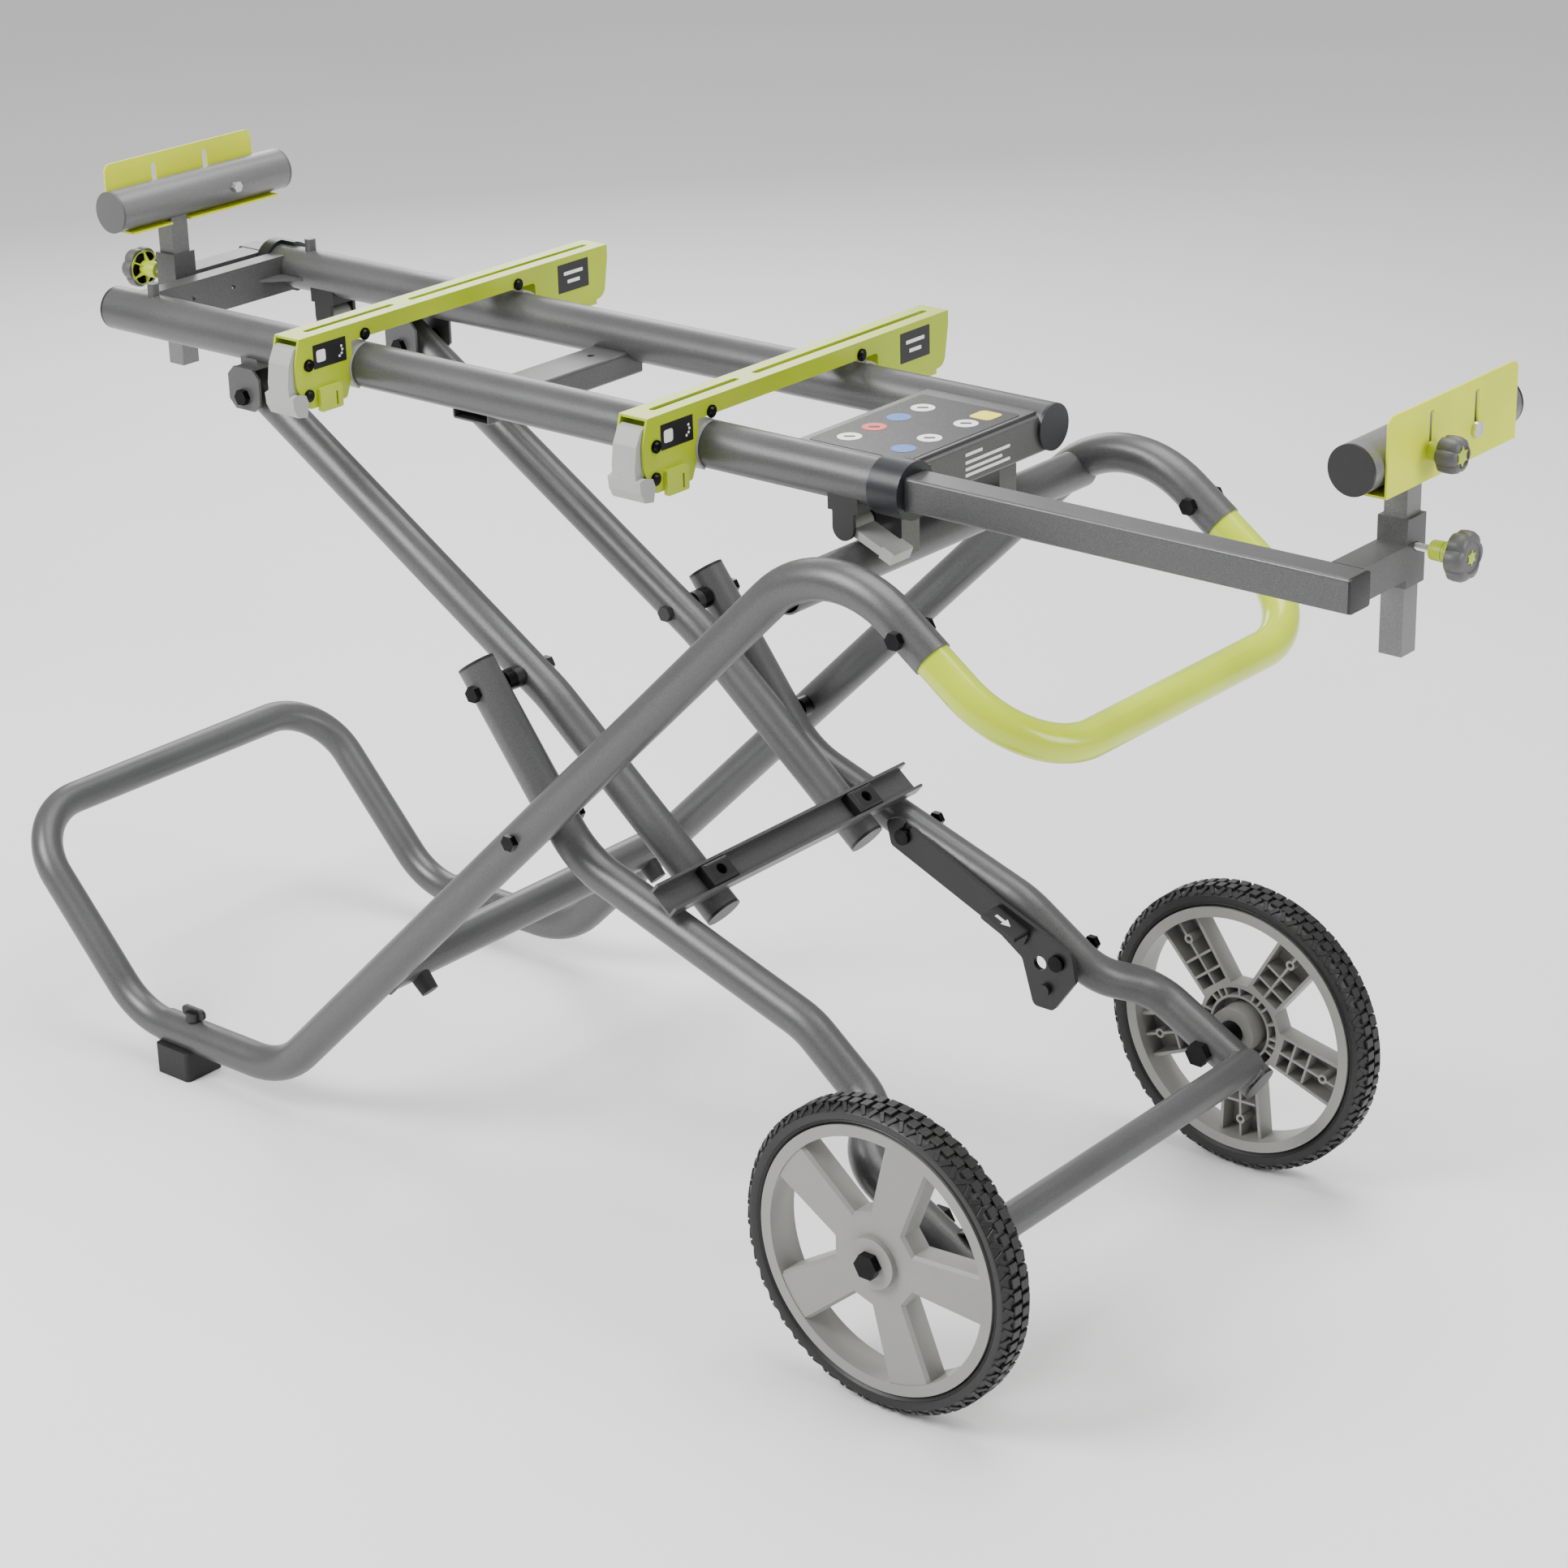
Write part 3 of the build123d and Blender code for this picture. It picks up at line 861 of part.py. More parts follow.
# ---- saw brackets --------------------------------------------------------------------------------
HOOK_NEAR = -RAIL_Y - 20.0       # inner edge of the side in front of the near rail
NOSE_PIVOT = (BRACKET_FRONT + 17.0, BRACKET_TOP - 28.0)
LEVER_W = BRACKET_W - 2 * BRACKET_T - 1.0
for hand, bracket_x in zip(("left", "right"), BRACKET_X):
    low_x = bracket_x - BRACKET_W / 2
    with BuildPart() as saw_bracket:
        for x in (low_x, low_x + BRACKET_W - BRACKET_T):
            with BuildSketch(along(x, 0, 0)) as cheek:
                with BuildLine():
                    FilletPolyline((BRACKET_FRONT + 7, BRACKET_TOP), (BRACKET_FRONT, BRACKET_TOP - 24),
                                   (BRACKET_FRONT, BRACKET_TOP - 50),
                                   (BRACKET_FRONT + 15, BRACKET_TOP - BRACKET_NOSE),
                                   (HOOK_NEAR - 10, BRACKET_TOP - BRACKET_NOSE),
                                   (HOOK_NEAR, BRACKET_TOP - BRACKET_SIDE - 30),
                                   (HOOK_NEAR, BRACKET_TOP - BRACKET_SIDE), (0, BRACKET_TOP - BRACKET_SIDE),
                                   (0, BRACKET_TOP), radius=[0.5, 30, 30, 6, 4, 4, 1, 1, 1], close=True)
                make_face()
                with BuildLine():
                    FilletPolyline((0, BRACKET_TOP), (0, BRACKET_TOP - BRACKET_SIDE),
                                   (RAIL_Y + 20, BRACKET_TOP - BRACKET_SIDE),
                                   (RAIL_Y + 20, BRACKET_TOP - BRACKET_TAIL),
                                   (BRACKET_BACK - 7, BRACKET_TOP - BRACKET_TAIL),
                                   (BRACKET_BACK, BRACKET_TOP - 14), (BRACKET_BACK, BRACKET_TOP),
                                   radius=[1, 1, 4, 4, 12, 4, 0.5], close=True)
                make_face()
                with Locations((-RAIL_Y, RAIL_Z), (RAIL_Y, RAIL_Z)):
                    Circle(RAIL_R + GAP, mode=Mode.SUBTRACT)
            extrude(cheek.sketch, amount=BRACKET_T)
        block(low_x, low_x + BRACKET_W, BRACKET_FRONT + 7, BRACKET_BACK, BRACKET_TOP - BRACKET_T, BRACKET_TOP)
        with BuildSketch(Plane.XY.offset(BRACKET_TOP)) as slots:
            with Locations((bracket_x, -116.0)):
                SlotOverall(122.0, SLOT_W, rotation=90)
            with Locations((bracket_x, 97.5)):
                SlotOverall(261.0, SLOT_W, rotation=90)
        extrude(slots.sketch, amount=-2 * BRACKET_T, mode=Mode.SUBTRACT)
        rod(low_x, low_x + BRACKET_W, *NOSE_PIVOT, BOLT_R - 1, Mode.SUBTRACT)
    save(saw_bracket, f"saw_bracket_{hand}")

    with BuildPart() as bracket_blocks:
        cheek_x = low_x + BRACKET_W
        block(cheek_x, cheek_x + 4.5, -181, -151, BRACKET_TOP - BRACKET_NOSE - 5, BRACKET_TOP - BRACKET_NOSE + 19)
        fillet(bracket_blocks.edges().filter_by(Axis.X), 2.5)
        block(cheek_x - 2, cheek_x + 6, -160, -157.5, BRACKET_TOP - BRACKET_NOSE - 2, BRACKET_TOP - 60, Mode.SUBTRACT)
        block(low_x + BRACKET_T, cheek_x - BRACKET_T, 182, 226, BRACKET_TOP - BRACKET_TAIL - 6,
              BRACKET_TOP - BRACKET_TAIL + 12)
        rod(low_x, low_x + BRACKET_W, *NOSE_PIVOT, BOLT_R - 1)
    save(bracket_blocks, f"bracket_blocks_{hand}")

    with BuildPart() as bracket_lever:
        with BuildSketch(along(bracket_x - LEVER_W / 2, NOSE_PIVOT[0], NOSE_PIVOT[1])) as lever:
            Circle(9.0)
            with BuildLine():
                FilletPolyline((-2, 9), (-9, 21), (-16, 17.5), (-23, 4), (-26, -16), (-25, -34), (-20, -48),
                               (-8, -50), (-11, -38), (-17, -20), (-14, -6), (-8, -8), radius=2.0, close=True)
            make_face()
            Circle(BOLT_R - 1 + RUN, mode=Mode.SUBTRACT)
        extrude(lever.sketch, amount=LEVER_W)
        wide = BRACKET_W / 2 + GAP
        with BuildSketch(along(bracket_x - wide - 2.2, *NOSE_PIVOT)) as cuff:
            with BuildLine():
                FilletPolyline((-26, -27), (-19.5, -25), (-8, -28), (-5, -36), (-8, -50), (-20, -48), (-25, -38),
                               radius=1.2, close=True)
            make_face()
        extrude(cuff.sketch, amount=2 * wide + 4.4)
        with BuildSketch(along(bracket_x - wide, *NOSE_PIVOT)) as room:
            with Locations((-9.0, -38.0)):
                Rectangle(2 * 8.6, 40.0)
        extrude(room.sketch, amount=wide - LEVER_W / 2, mode=Mode.SUBTRACT)
        extrude(room.sketch.moved(Location((wide + LEVER_W / 2, 0, 0))), amount=wide - LEVER_W / 2,
                mode=Mode.SUBTRACT)
    save(bracket_lever, f"bracket_lever_{hand}")
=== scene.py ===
"""Studio scene of a folding, wheeled mitre saw stand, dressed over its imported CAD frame."""
from __future__ import annotations

import json
import logging
import math
from dataclasses import dataclass, field
from enum import Enum

import bmesh
import bpy
from mathutils import Euler, Matrix, Vector

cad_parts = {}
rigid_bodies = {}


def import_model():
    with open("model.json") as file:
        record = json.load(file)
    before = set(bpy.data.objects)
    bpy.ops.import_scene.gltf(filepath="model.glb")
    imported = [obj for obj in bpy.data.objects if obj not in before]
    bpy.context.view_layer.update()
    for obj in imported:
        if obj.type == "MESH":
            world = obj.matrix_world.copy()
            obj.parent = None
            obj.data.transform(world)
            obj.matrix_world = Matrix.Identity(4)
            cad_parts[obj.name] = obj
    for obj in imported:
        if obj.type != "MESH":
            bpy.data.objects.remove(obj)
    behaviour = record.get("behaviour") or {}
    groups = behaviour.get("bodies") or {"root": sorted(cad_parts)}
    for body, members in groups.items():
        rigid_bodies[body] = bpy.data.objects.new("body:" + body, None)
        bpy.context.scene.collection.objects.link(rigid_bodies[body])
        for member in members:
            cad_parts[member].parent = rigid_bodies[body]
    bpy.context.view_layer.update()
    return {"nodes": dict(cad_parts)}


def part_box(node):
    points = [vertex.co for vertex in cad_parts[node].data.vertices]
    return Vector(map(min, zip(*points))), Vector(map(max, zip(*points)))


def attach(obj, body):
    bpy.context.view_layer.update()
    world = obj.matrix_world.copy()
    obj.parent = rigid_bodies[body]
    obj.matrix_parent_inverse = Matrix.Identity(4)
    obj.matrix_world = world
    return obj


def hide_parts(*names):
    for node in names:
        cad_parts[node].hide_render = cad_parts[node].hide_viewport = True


log = logging.getLogger("saw_stand")


# ---- finishes ---------------------------------------------------------------------------
class Slot(Enum):
    """Material slots of the record that new pieces take their finish from."""

    DARK = "dark_coat"
    LIME = "lime_coat"
    BLACK = "black_plastic"
    COLLAR = "collar_plastic"
    GREY = "grey_plastic"
    RIM = "rim_plastic"
    LIME_PLASTIC = "lime_plastic"
    RUBBER = "rubber"
    TYRE = "tyre_rubber"
    BOLT = "black_bolts"
    ZINC = "zinc"


class Shader:
    """A small builder for one node material on Object coordinates."""

    def __init__(self, name: str) -> None:
        """Start an empty material with a Principled shader.

        Args:
            name: The material's name.
        """
        self.material = bpy.data.materials.new(name)
        self.material.use_nodes = True
        self.tree = self.material.node_tree
        self.tree.nodes.clear()
        self.out = self.tree.nodes.new("ShaderNodeOutputMaterial")
        self.bsdf = self.tree.nodes.new("ShaderNodeBsdfPrincipled")
        self.coords = self.tree.nodes.new("ShaderNodeTexCoord")
        self.link(self.bsdf.outputs["BSDF"], self.out.inputs["Surface"])

    def link(self, source: bpy.types.NodeSocket, target: bpy.types.NodeSocket) -> None:
        """Join two sockets."""
        self.tree.links.new(source, target)

    def set(self, **values: float) -> None:
        """Set the shader's own sockets, with underscores for spaces in their names."""
        for key, value in values.items():
            self.bsdf.inputs[key.replace("_", " ")].default_value = value

    def noise(self, scale: float, detail: float = 3.0, stretch: Vector | None = None) -> bpy.types.NodeSocket:
        """Add a noise texture in object space.

        Args:
            scale: Cells per metre.
            detail: Octaves of the noise.
            stretch: Scale along each axis, or None for an even one.

        Returns:
            The noise's factor socket.
        """
        node = self.tree.nodes.new("ShaderNodeTexNoise")
        node.inputs["Scale"].default_value = scale
        node.inputs["Detail"].default_value = detail
        source = self.coords.outputs["Object"]
        if stretch is not None:
            mapping = self.tree.nodes.new("ShaderNodeMapping")
            mapping.inputs["Scale"].default_value = stretch
            self.link(source, mapping.inputs["Vector"])
            source = mapping.outputs["Vector"]
        self.link(source, node.inputs["Vector"])
        return node.outputs["Fac"]

    def ramp(self, factor: bpy.types.NodeSocket,
             stops: list[tuple[float, tuple[float, ...]]]) -> bpy.types.NodeSocket:
        """Map a factor to colours.

        Args:
            factor: The driving socket.
            stops: Pairs of position and RGB colour.

        Returns:
            The ramp's colour socket.
        """
        node = self.tree.nodes.new("ShaderNodeValToRGB")
        ramp = node.color_ramp
        while len(ramp.elements) < len(stops):
            ramp.elements.new(0.5)
        for element, (place, colour) in zip(ramp.elements, stops):
            element.position = place
            element.color = (*colour, 1.0)
        self.link(factor, node.inputs["Fac"])
        return node.outputs["Color"]

    def span(self, factor: bpy.types.NodeSocket, low: float, high: float) -> bpy.types.NodeSocket:
        """Map a factor of 0.3 to 0.7 onto a range of values.

        Returns:
            The mapped value socket.
        """
        node = self.tree.nodes.new("ShaderNodeMapRange")
        node.inputs["From Min"].default_value = 0.3
        node.inputs["From Max"].default_value = 0.7
        node.inputs["To Min"].default_value = low
        node.inputs["To Max"].default_value = high
        self.link(factor, node.inputs["Value"])
        return node.outputs["Result"]

    def mix(self, factor: bpy.types.NodeSocket, first: bpy.types.NodeSocket,
            second: bpy.types.NodeSocket) -> bpy.types.NodeSocket:
        """Blend two colours by a factor.

        Returns:
            The blended colour socket.
        """
        node = self.tree.nodes.new("ShaderNodeMix")
        node.data_type = "RGBA"
        self.link(factor, node.inputs[0])
        self.link(first, node.inputs[6])
        self.link(second, node.inputs[7])
        return node.outputs[2]

    def bump(self, heights: list[tuple[bpy.types.NodeSocket, float]]) -> None:
        """Stack bump layers on the shader's normal.

        Args:
            heights: Pairs of height socket and depth in metres.
        """
        below = None
        for height, depth in heights:
            node = self.tree.nodes.new("ShaderNodeBump")
            node.inputs["Distance"].default_value = depth
            node.inputs["Strength"].default_value = 1.0
            self.link(height, node.inputs["Height"])
            if below is not None:
                self.link(below, node.inputs["Normal"])
            below = node.outputs["Normal"]
        if below is not None:
            self.link(below, self.bsdf.inputs["Normal"])


def shade(colour: tuple[float, ...], factor: float) -> tuple[float, ...]:
    """Scale a colour's brightness."""
    return tuple(min(1.0, c * factor) for c in colour)


@dataclass(frozen=True)
class PowderCoat:
    """Baked paint with a fine orange-peel surface, and metal flakes where flake is above 0."""

    name: str
    colour: tuple[float, float, float]
    roughness: float = 0.42
    metallic: float = 0.0
    flake: float = 0.0
    peel: float = 0.00008
    coat: float = 0.0

    def build(self) -> bpy.types.Material:
        """Make the material.

        Returns:
            The node material.
        """
        s = Shader(self.name)
        broad = s.noise(9.0, 2.0)
        grain = s.noise(1400.0, 2.0)
        peel = s.noise(420.0, 3.0)
        base = s.ramp(broad, [(0.35, shade(self.colour, 0.93)), (0.65, shade(self.colour, 1.07))])
        if self.flake:
            dark = s.ramp(grain, [(0.34, shade(self.colour, 1.0 - self.flake)),
                                  (0.55, self.colour),
                                  (0.68, shade(self.colour, 1.0 + 1.6 * self.flake))])
            base = s.mix(s.span(peel, 0.35, 0.75), base, dark)
        s.link(base, s.bsdf.inputs["Base Color"])
        s.link(s.span(broad, self.roughness - 0.05, self.roughness + 0.06), s.bsdf.inputs["Roughness"])
        s.set(Metallic=self.metallic, Coat_Weight=self.coat, Coat_Roughness=0.12)
        s.bump([(peel, self.peel), (grain, self.peel * 0.5)])
        return s.material


@dataclass(frozen=True)
class Moulding:
    """Moulded plastic or rubber: a fine spark-eroded grain, with dusty high spots where worn."""

    name: str
    colour: tuple[float, float, float]
    roughness: float = 0.5
    grain: float = 0.00006
    worn: float = 0.12
    sheen: float = 0.0

    def build(self) -> bpy.types.Material:
        """Make the material.

        Returns:
            The node material.
        """
        s = Shader(self.name)
        cloud = s.noise(22.0, 4.0)
        grain = s.noise(900.0, 2.0)
        s.link(s.ramp(cloud, [(0.3, shade(self.colour, 1.0 - self.worn)),
                              (0.7, shade(self.colour, 1.0 + self.worn))]),
               s.bsdf.inputs["Base Color"])
        s.link(s.span(grain, self.roughness - 0.07, self.roughness + 0.08), s.bsdf.inputs["Roughness"])
        s.set(Sheen_Weight=self.sheen)
        s.bump([(grain, self.grain), (cloud, self.grain * 0.6)])
        return s.material


@dataclass(frozen=True)
class Steel:
    """Turned or plated steel with fine marks around it."""

    name: str
    colour: tuple[float, float, float]
    roughness: float = 0.3

    def build(self) -> bpy.types.Material:
        """Make the material.

        Returns:
            The node material.
        """
        s = Shader(self.name)
        marks = s.noise(160.0, 4.0, Vector((1.0, 9.0, 1.0)))
        blotch = s.noise(60.0, 2.0)
        s.link(s.ramp(blotch, [(0.35, shade(self.colour, 0.85)), (0.7, shade(self.colour, 1.15))]),
               s.bsdf.inputs["Base Color"])
        s.link(s.span(marks, self.roughness - 0.08, self.roughness + 0.12), s.bsdf.inputs["Roughness"])
        s.set(Metallic=1.0)
        s.bump([(marks, 0.00003)])
        return s.material


@dataclass
class Finishes:
    """Every finish of the stand, built once and named by material slot."""

    dark: PowderCoat = PowderCoat("dark_metallic_coat", (0.088, 0.088, 0.090), 0.36, 0.35, 0.38)
    silver: PowderCoat = PowderCoat("silver_metallic_coat", (0.17, 0.17, 0.173), 0.36, 0.40, 0.32)
    lime: PowderCoat = PowderCoat("lime_coat", (0.36, 0.46, 0.001), 0.36, 0.0, 0.0, 0.00005, 0.12)
    pale_lime: PowderCoat = PowderCoat("pale_lime_coat", (0.66, 0.74, 0.006), 0.46, 0.0, 0.0, 0.00004, 0.08)
    gloss_lime: PowderCoat = PowderCoat("gloss_lime_coat", (0.50, 0.63, 0.001), 0.26, 0.0, 0.0, 0.00002, 0.35)
    black: Moulding = Moulding("black_moulding", (0.0065, 0.0065, 0.007), 0.42)
    collar: Moulding = Moulding("collar_moulding", (0.0085, 0.0095, 0.0125), 0.38)
    grey: Moulding = Moulding("pale_grey_moulding", (0.34, 0.34, 0.325), 0.40, worn=0.04)
    knob_grey: Moulding = Moulding("knob_grey_moulding", (0.085, 0.085, 0.085), 0.44, worn=0.06)
    rim: Moulding = Moulding("rim_moulding", (0.24, 0.238, 0.222), 0.42, worn=0.03)
    lime_plastic: Moulding = Moulding("lime_moulding", (0.42, 0.52, 0.02), 0.38, worn=0.04)
    rubber: Moulding = Moulding("black_rubber", (0.007, 0.007, 0.007), 0.60, 0.0001)
    tyre: Moulding = Moulding("tyre_rubber", (0.0055, 0.0055, 0.0057), 0.48, 0.0001)
    bolt: Steel = Steel("blackened_steel", (0.016, 0.016, 0.017), 0.30)
    zinc: Steel = Steel("zinc_steel", (0.66, 0.67, 0.66), 0.24)
    ink: Moulding = Moulding("label_black", (0.0055, 0.0055, 0.006), 0.40, 0.00002, 0.05)
    paper: Moulding = Moulding("label_white", (0.80, 0.80, 0.78), 0.36, 0.00002, 0.03)
    blue: Moulding = Moulding("label_blue", (0.01, 0.10, 0.38), 0.36, 0.00002, 0.03)
    yellow: Moulding = Moulding("label_yellow", (0.78, 0.70, 0.02), 0.36, 0.00002, 0.03)
    red: Moulding = Moulding("label_red", (0.62, 0.03, 0.03), 0.36, 0.00002, 0.03)
    made: dict[str, bpy.types.Material] = field(default_factory=dict)

    def get(self, name: str) -> bpy.types.Material:
        """Give a finish's material, making it the first time.

        Args:
            name: The finish's field name.

        Returns:
            The material.
        """
        if name not in self.made:
            self.made[name] = getattr(self, name).build()
        return self.made[name]


# ---- mesh tools ---------------------------------------------------------------------------
class Bench:
    """Turns meshes into finished pieces that ride on a body."""

    def __init__(self, finishes: Finishes) -> None:
        """Keep the finishes.

        Args:
            finishes: The stand's finishes.
        """
        self.finishes = finishes

    def piece(self, name: str, mesh: bpy.types.Mesh | bmesh.types.BMesh, finish: str, body: str,
              smooth: float | None = 35.0) -> bpy.types.Object:
        """Finish a mesh as one piece.

        Args:
            name: The piece's name.
            mesh: Its mesh, in metres in the stand's frame.
            finish: The field name of its finish.
            body: The body that it moves with.
            smooth: Largest angle in degrees that is shaded smooth, or None for flat faces.

        Returns:
            The new object.
        """
        if isinstance(mesh, bmesh.types.BMesh):
            bmesh.ops.recalc_face_normals(mesh, faces=mesh.faces)
            data = bpy.data.meshes.new(name)
            mesh.to_mesh(data)
            mesh.free()
        else:
            data = mesh
            data.name = name
        obj = bpy.data.objects.new(name, data)
        bpy.context.scene.collection.objects.link(obj)
        data.materials.clear()
        data.materials.append(self.finishes.get(finish))
        if smooth is not None:
            data.shade_smooth()
            data.set_sharp_from_angle(angle=math.radians(smooth))
        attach(obj, body)
        log.info("piece %s on %s: %d faces", name, body, len(data.polygons))
        return obj


def add_lathe(bm: bmesh.types.BMesh, profile: list[tuple[float, float]], centre: Vector, axis: Vector,
              steps: int = 64) -> list[bmesh.types.BMVert]:
    """Add a closed ring or disc turned about an axis.

    Args:
        bm: The mesh to add to.
        profile: Closed outline of (radius, distance along the axis).
        centre: A point on the axis.
        axis: The axis' direction.
        steps: Faces around.

    Returns:
        The new vertices.
    """
    turn = axis.to_track_quat("Z", "Y").to_matrix()
    rings = []
    for i in range(steps):
        a = 2 * math.pi * i / steps
        rings.append([bm.verts.new(centre + turn @ Vector((r * math.cos(a), r * math.sin(a), h)))
                      for r, h in profile])
    count = len(profile)
    for i in range(steps):
        for j in range(count):
            k = (j + 1) % count
            bm.faces.new((rings[i][j], rings[(i + 1) % steps][j], rings[(i + 1) % steps][k], rings[i][k]))
    verts = [v for ring in rings for v in ring]
    bmesh.ops.remove_doubles(bm, verts=verts, dist=1e-6)
    return [v for v in verts if v.is_valid]


def add_prism(bm: bmesh.types.BMesh, outline: list[tuple[float, float]], place: Matrix, depth: float,
              bevel: float = 0.0) -> None:
    """Add a prism of an outline, with its top edge rounded where bevel is given.

    Args:
        bm: The mesh to add to.
        outline: Corners in the place's XY plane.
        place: The matrix from the outline's plane to the stand's frame.
        depth: Height along the place's Z.
        bevel: Width of the bevel on the top edge.
    """
    low = [bm.verts.new(place @ Vector((x, y, 0.0))) for x, y in outline]
    high = [bm.verts.new(place @ Vector((x, y, depth))) for x, y in outline]
    bm.faces.new(list(reversed(low)))
    top = bm.faces.new(high)
    count = len(outline)
    for i in range(count):
        k = (i + 1) % count
        bm.faces.new((low[i], low[k], high[k], high[i]))
    if bevel:
        bmesh.ops.bevel(bm, geom=list(top.edges), offset=bevel, segments=2, affect="EDGES", profile=0.6)


def rounded(width: float, height: float, radius: float, steps: int = 4) -> list[tuple[float, float]]:
    """Give the corners of a rounded rectangle about the origin.

    Returns:
        The outline's points, anticlockwise.
    """
    points = []
    for sx, sy, start in ((1, 1, 0), (-1, 1, 90), (-1, -1, 180), (1, -1, 270)):
        for i in range(steps + 1):
            a = math.radians(start + 90 * i / steps)
            points.append((sx * (width / 2 - radius) + radius * math.cos(a),
                           sy * (height / 2 - radius) + radius * math.sin(a)))
    return points


def regular(radius: float, sides: int, turn: float = 0.0) -> list[tuple[float, float]]:
    """Give the corners of a regular polygon."""
    return [(radius * math.cos(turn + 2 * math.pi * i / sides),
             radius * math.sin(turn + 2 * math.pi * i / sides))
            for i in range(sides)]


def facing(origin: Vector, normal: Vector, up: Vector) -> Matrix:
    """Give a matrix whose Z is normal and whose Y is nearest to up.

    Returns:
        The placing matrix.
    """
    z = normal.normalized()
    y = (up - up.dot(z) * z).normalized()
    x = y.cross(z)
    return Matrix(((x.x, y.x, z.x, origin.x), (x.y, y.y, z.y, origin.y),
                   (x.z, y.z, z.z, origin.z), (0, 0, 0, 1)))


# ---- geometry nodes ------------------------------------------------------------------------
class GrowTree:
    """A geometry node tree with named inputs, run once and turned into a plain mesh."""

    def __init__(self, name: str, inputs: dict[str, tuple[str, float | int | tuple[float, ...]]]) -> None:
        """Start a tree.

        Args:
            name: The tree's name.
            inputs: Input name to socket type and default value.
        """
        self.tree = bpy.data.node_groups.new(name, "GeometryNodeTree")
        face = self.tree.interface
        face.new_socket("Geometry", in_out="INPUT", socket_type="NodeSocketGeometry")
        self.ids: dict[str, str] = {}
        for key, (kind, value) in inputs.items():
            socket = face.new_socket(key, in_out="INPUT", socket_type=kind)
            if kind != "NodeSocketMaterial":
                socket.default_value = value
            self.ids[key] = socket.identifier
        face.new_socket("Geometry", in_out="OUTPUT", socket_type="NodeSocketGeometry")
        self.start = self.tree.nodes.new("NodeGroupInput")
        self.end = self.tree.nodes.new("NodeGroupOutput")

    def node(self, kind: str, **settings: object) -> bpy.types.Node:
        """Add a node, with settings given by attribute or by input name."""
        made = self.tree.nodes.new(kind)
        for key, value in settings.items():
            if hasattr(made, key):
                setattr(made, key, value)
            else:
                made.inputs[key].default_value = value
        return made

    def link(self, source: bpy.types.NodeSocket, target: bpy.types.NodeSocket) -> None:
        """Join two sockets."""
        self.tree.links.new(source, target)

    def math(self, operation: str, first: object, second: object = 0.0) -> bpy.types.NodeSocket:
        """Add a maths node on sockets or numbers.

        Returns:
            The result socket.
        """
        made = self.tree.nodes.new("ShaderNodeMath")
        made.operation = operation
        for i, value in enumerate((first, second)):
            if isinstance(value, bpy.types.NodeSocket):
                self.link(value, made.inputs[i])
            else:
                made.inputs[i].default_value = value
        return made.outputs[0]

    def close(self, instances: bpy.types.NodeSocket) -> None:
        """Realise the instances, set the material and end the tree."""
        real = self.node("GeometryNodeRealizeInstances")
        paint = self.node("GeometryNodeSetMaterial")
        self.link(instances, real.inputs[0])
        self.link(real.outputs[0], paint.inputs["Geometry"])
        self.link(self.start.outputs["Material"], paint.inputs["Material"])
        self.link(paint.outputs[0], self.end.inputs[0])

    def run(self, base: bpy.types.Mesh, values: dict[str, object]) -> bpy.types.Mesh:
        """Run the tree on a mesh.

        Args:
            base: The mesh that goes in.
            values: Input values by name.

        Returns:
            The result as a plain mesh.
        """
        obj = bpy.data.objects.new("grow", base)
        bpy.context.scene.collection.objects.link(obj)
        modifier = obj.modifiers.new("grow", "NODES")
        modifier.node_group = self.tree
        for key, value in values.items():
            modifier[self.ids[key]] = value
        bpy.context.view_layer.update()
        view = obj.evaluated_get(bpy.context.evaluated_depsgraph_get())
        result = bpy.data.meshes.new_from_object(view)
        bpy.data.objects.remove(obj, do_unlink=True)
        return result


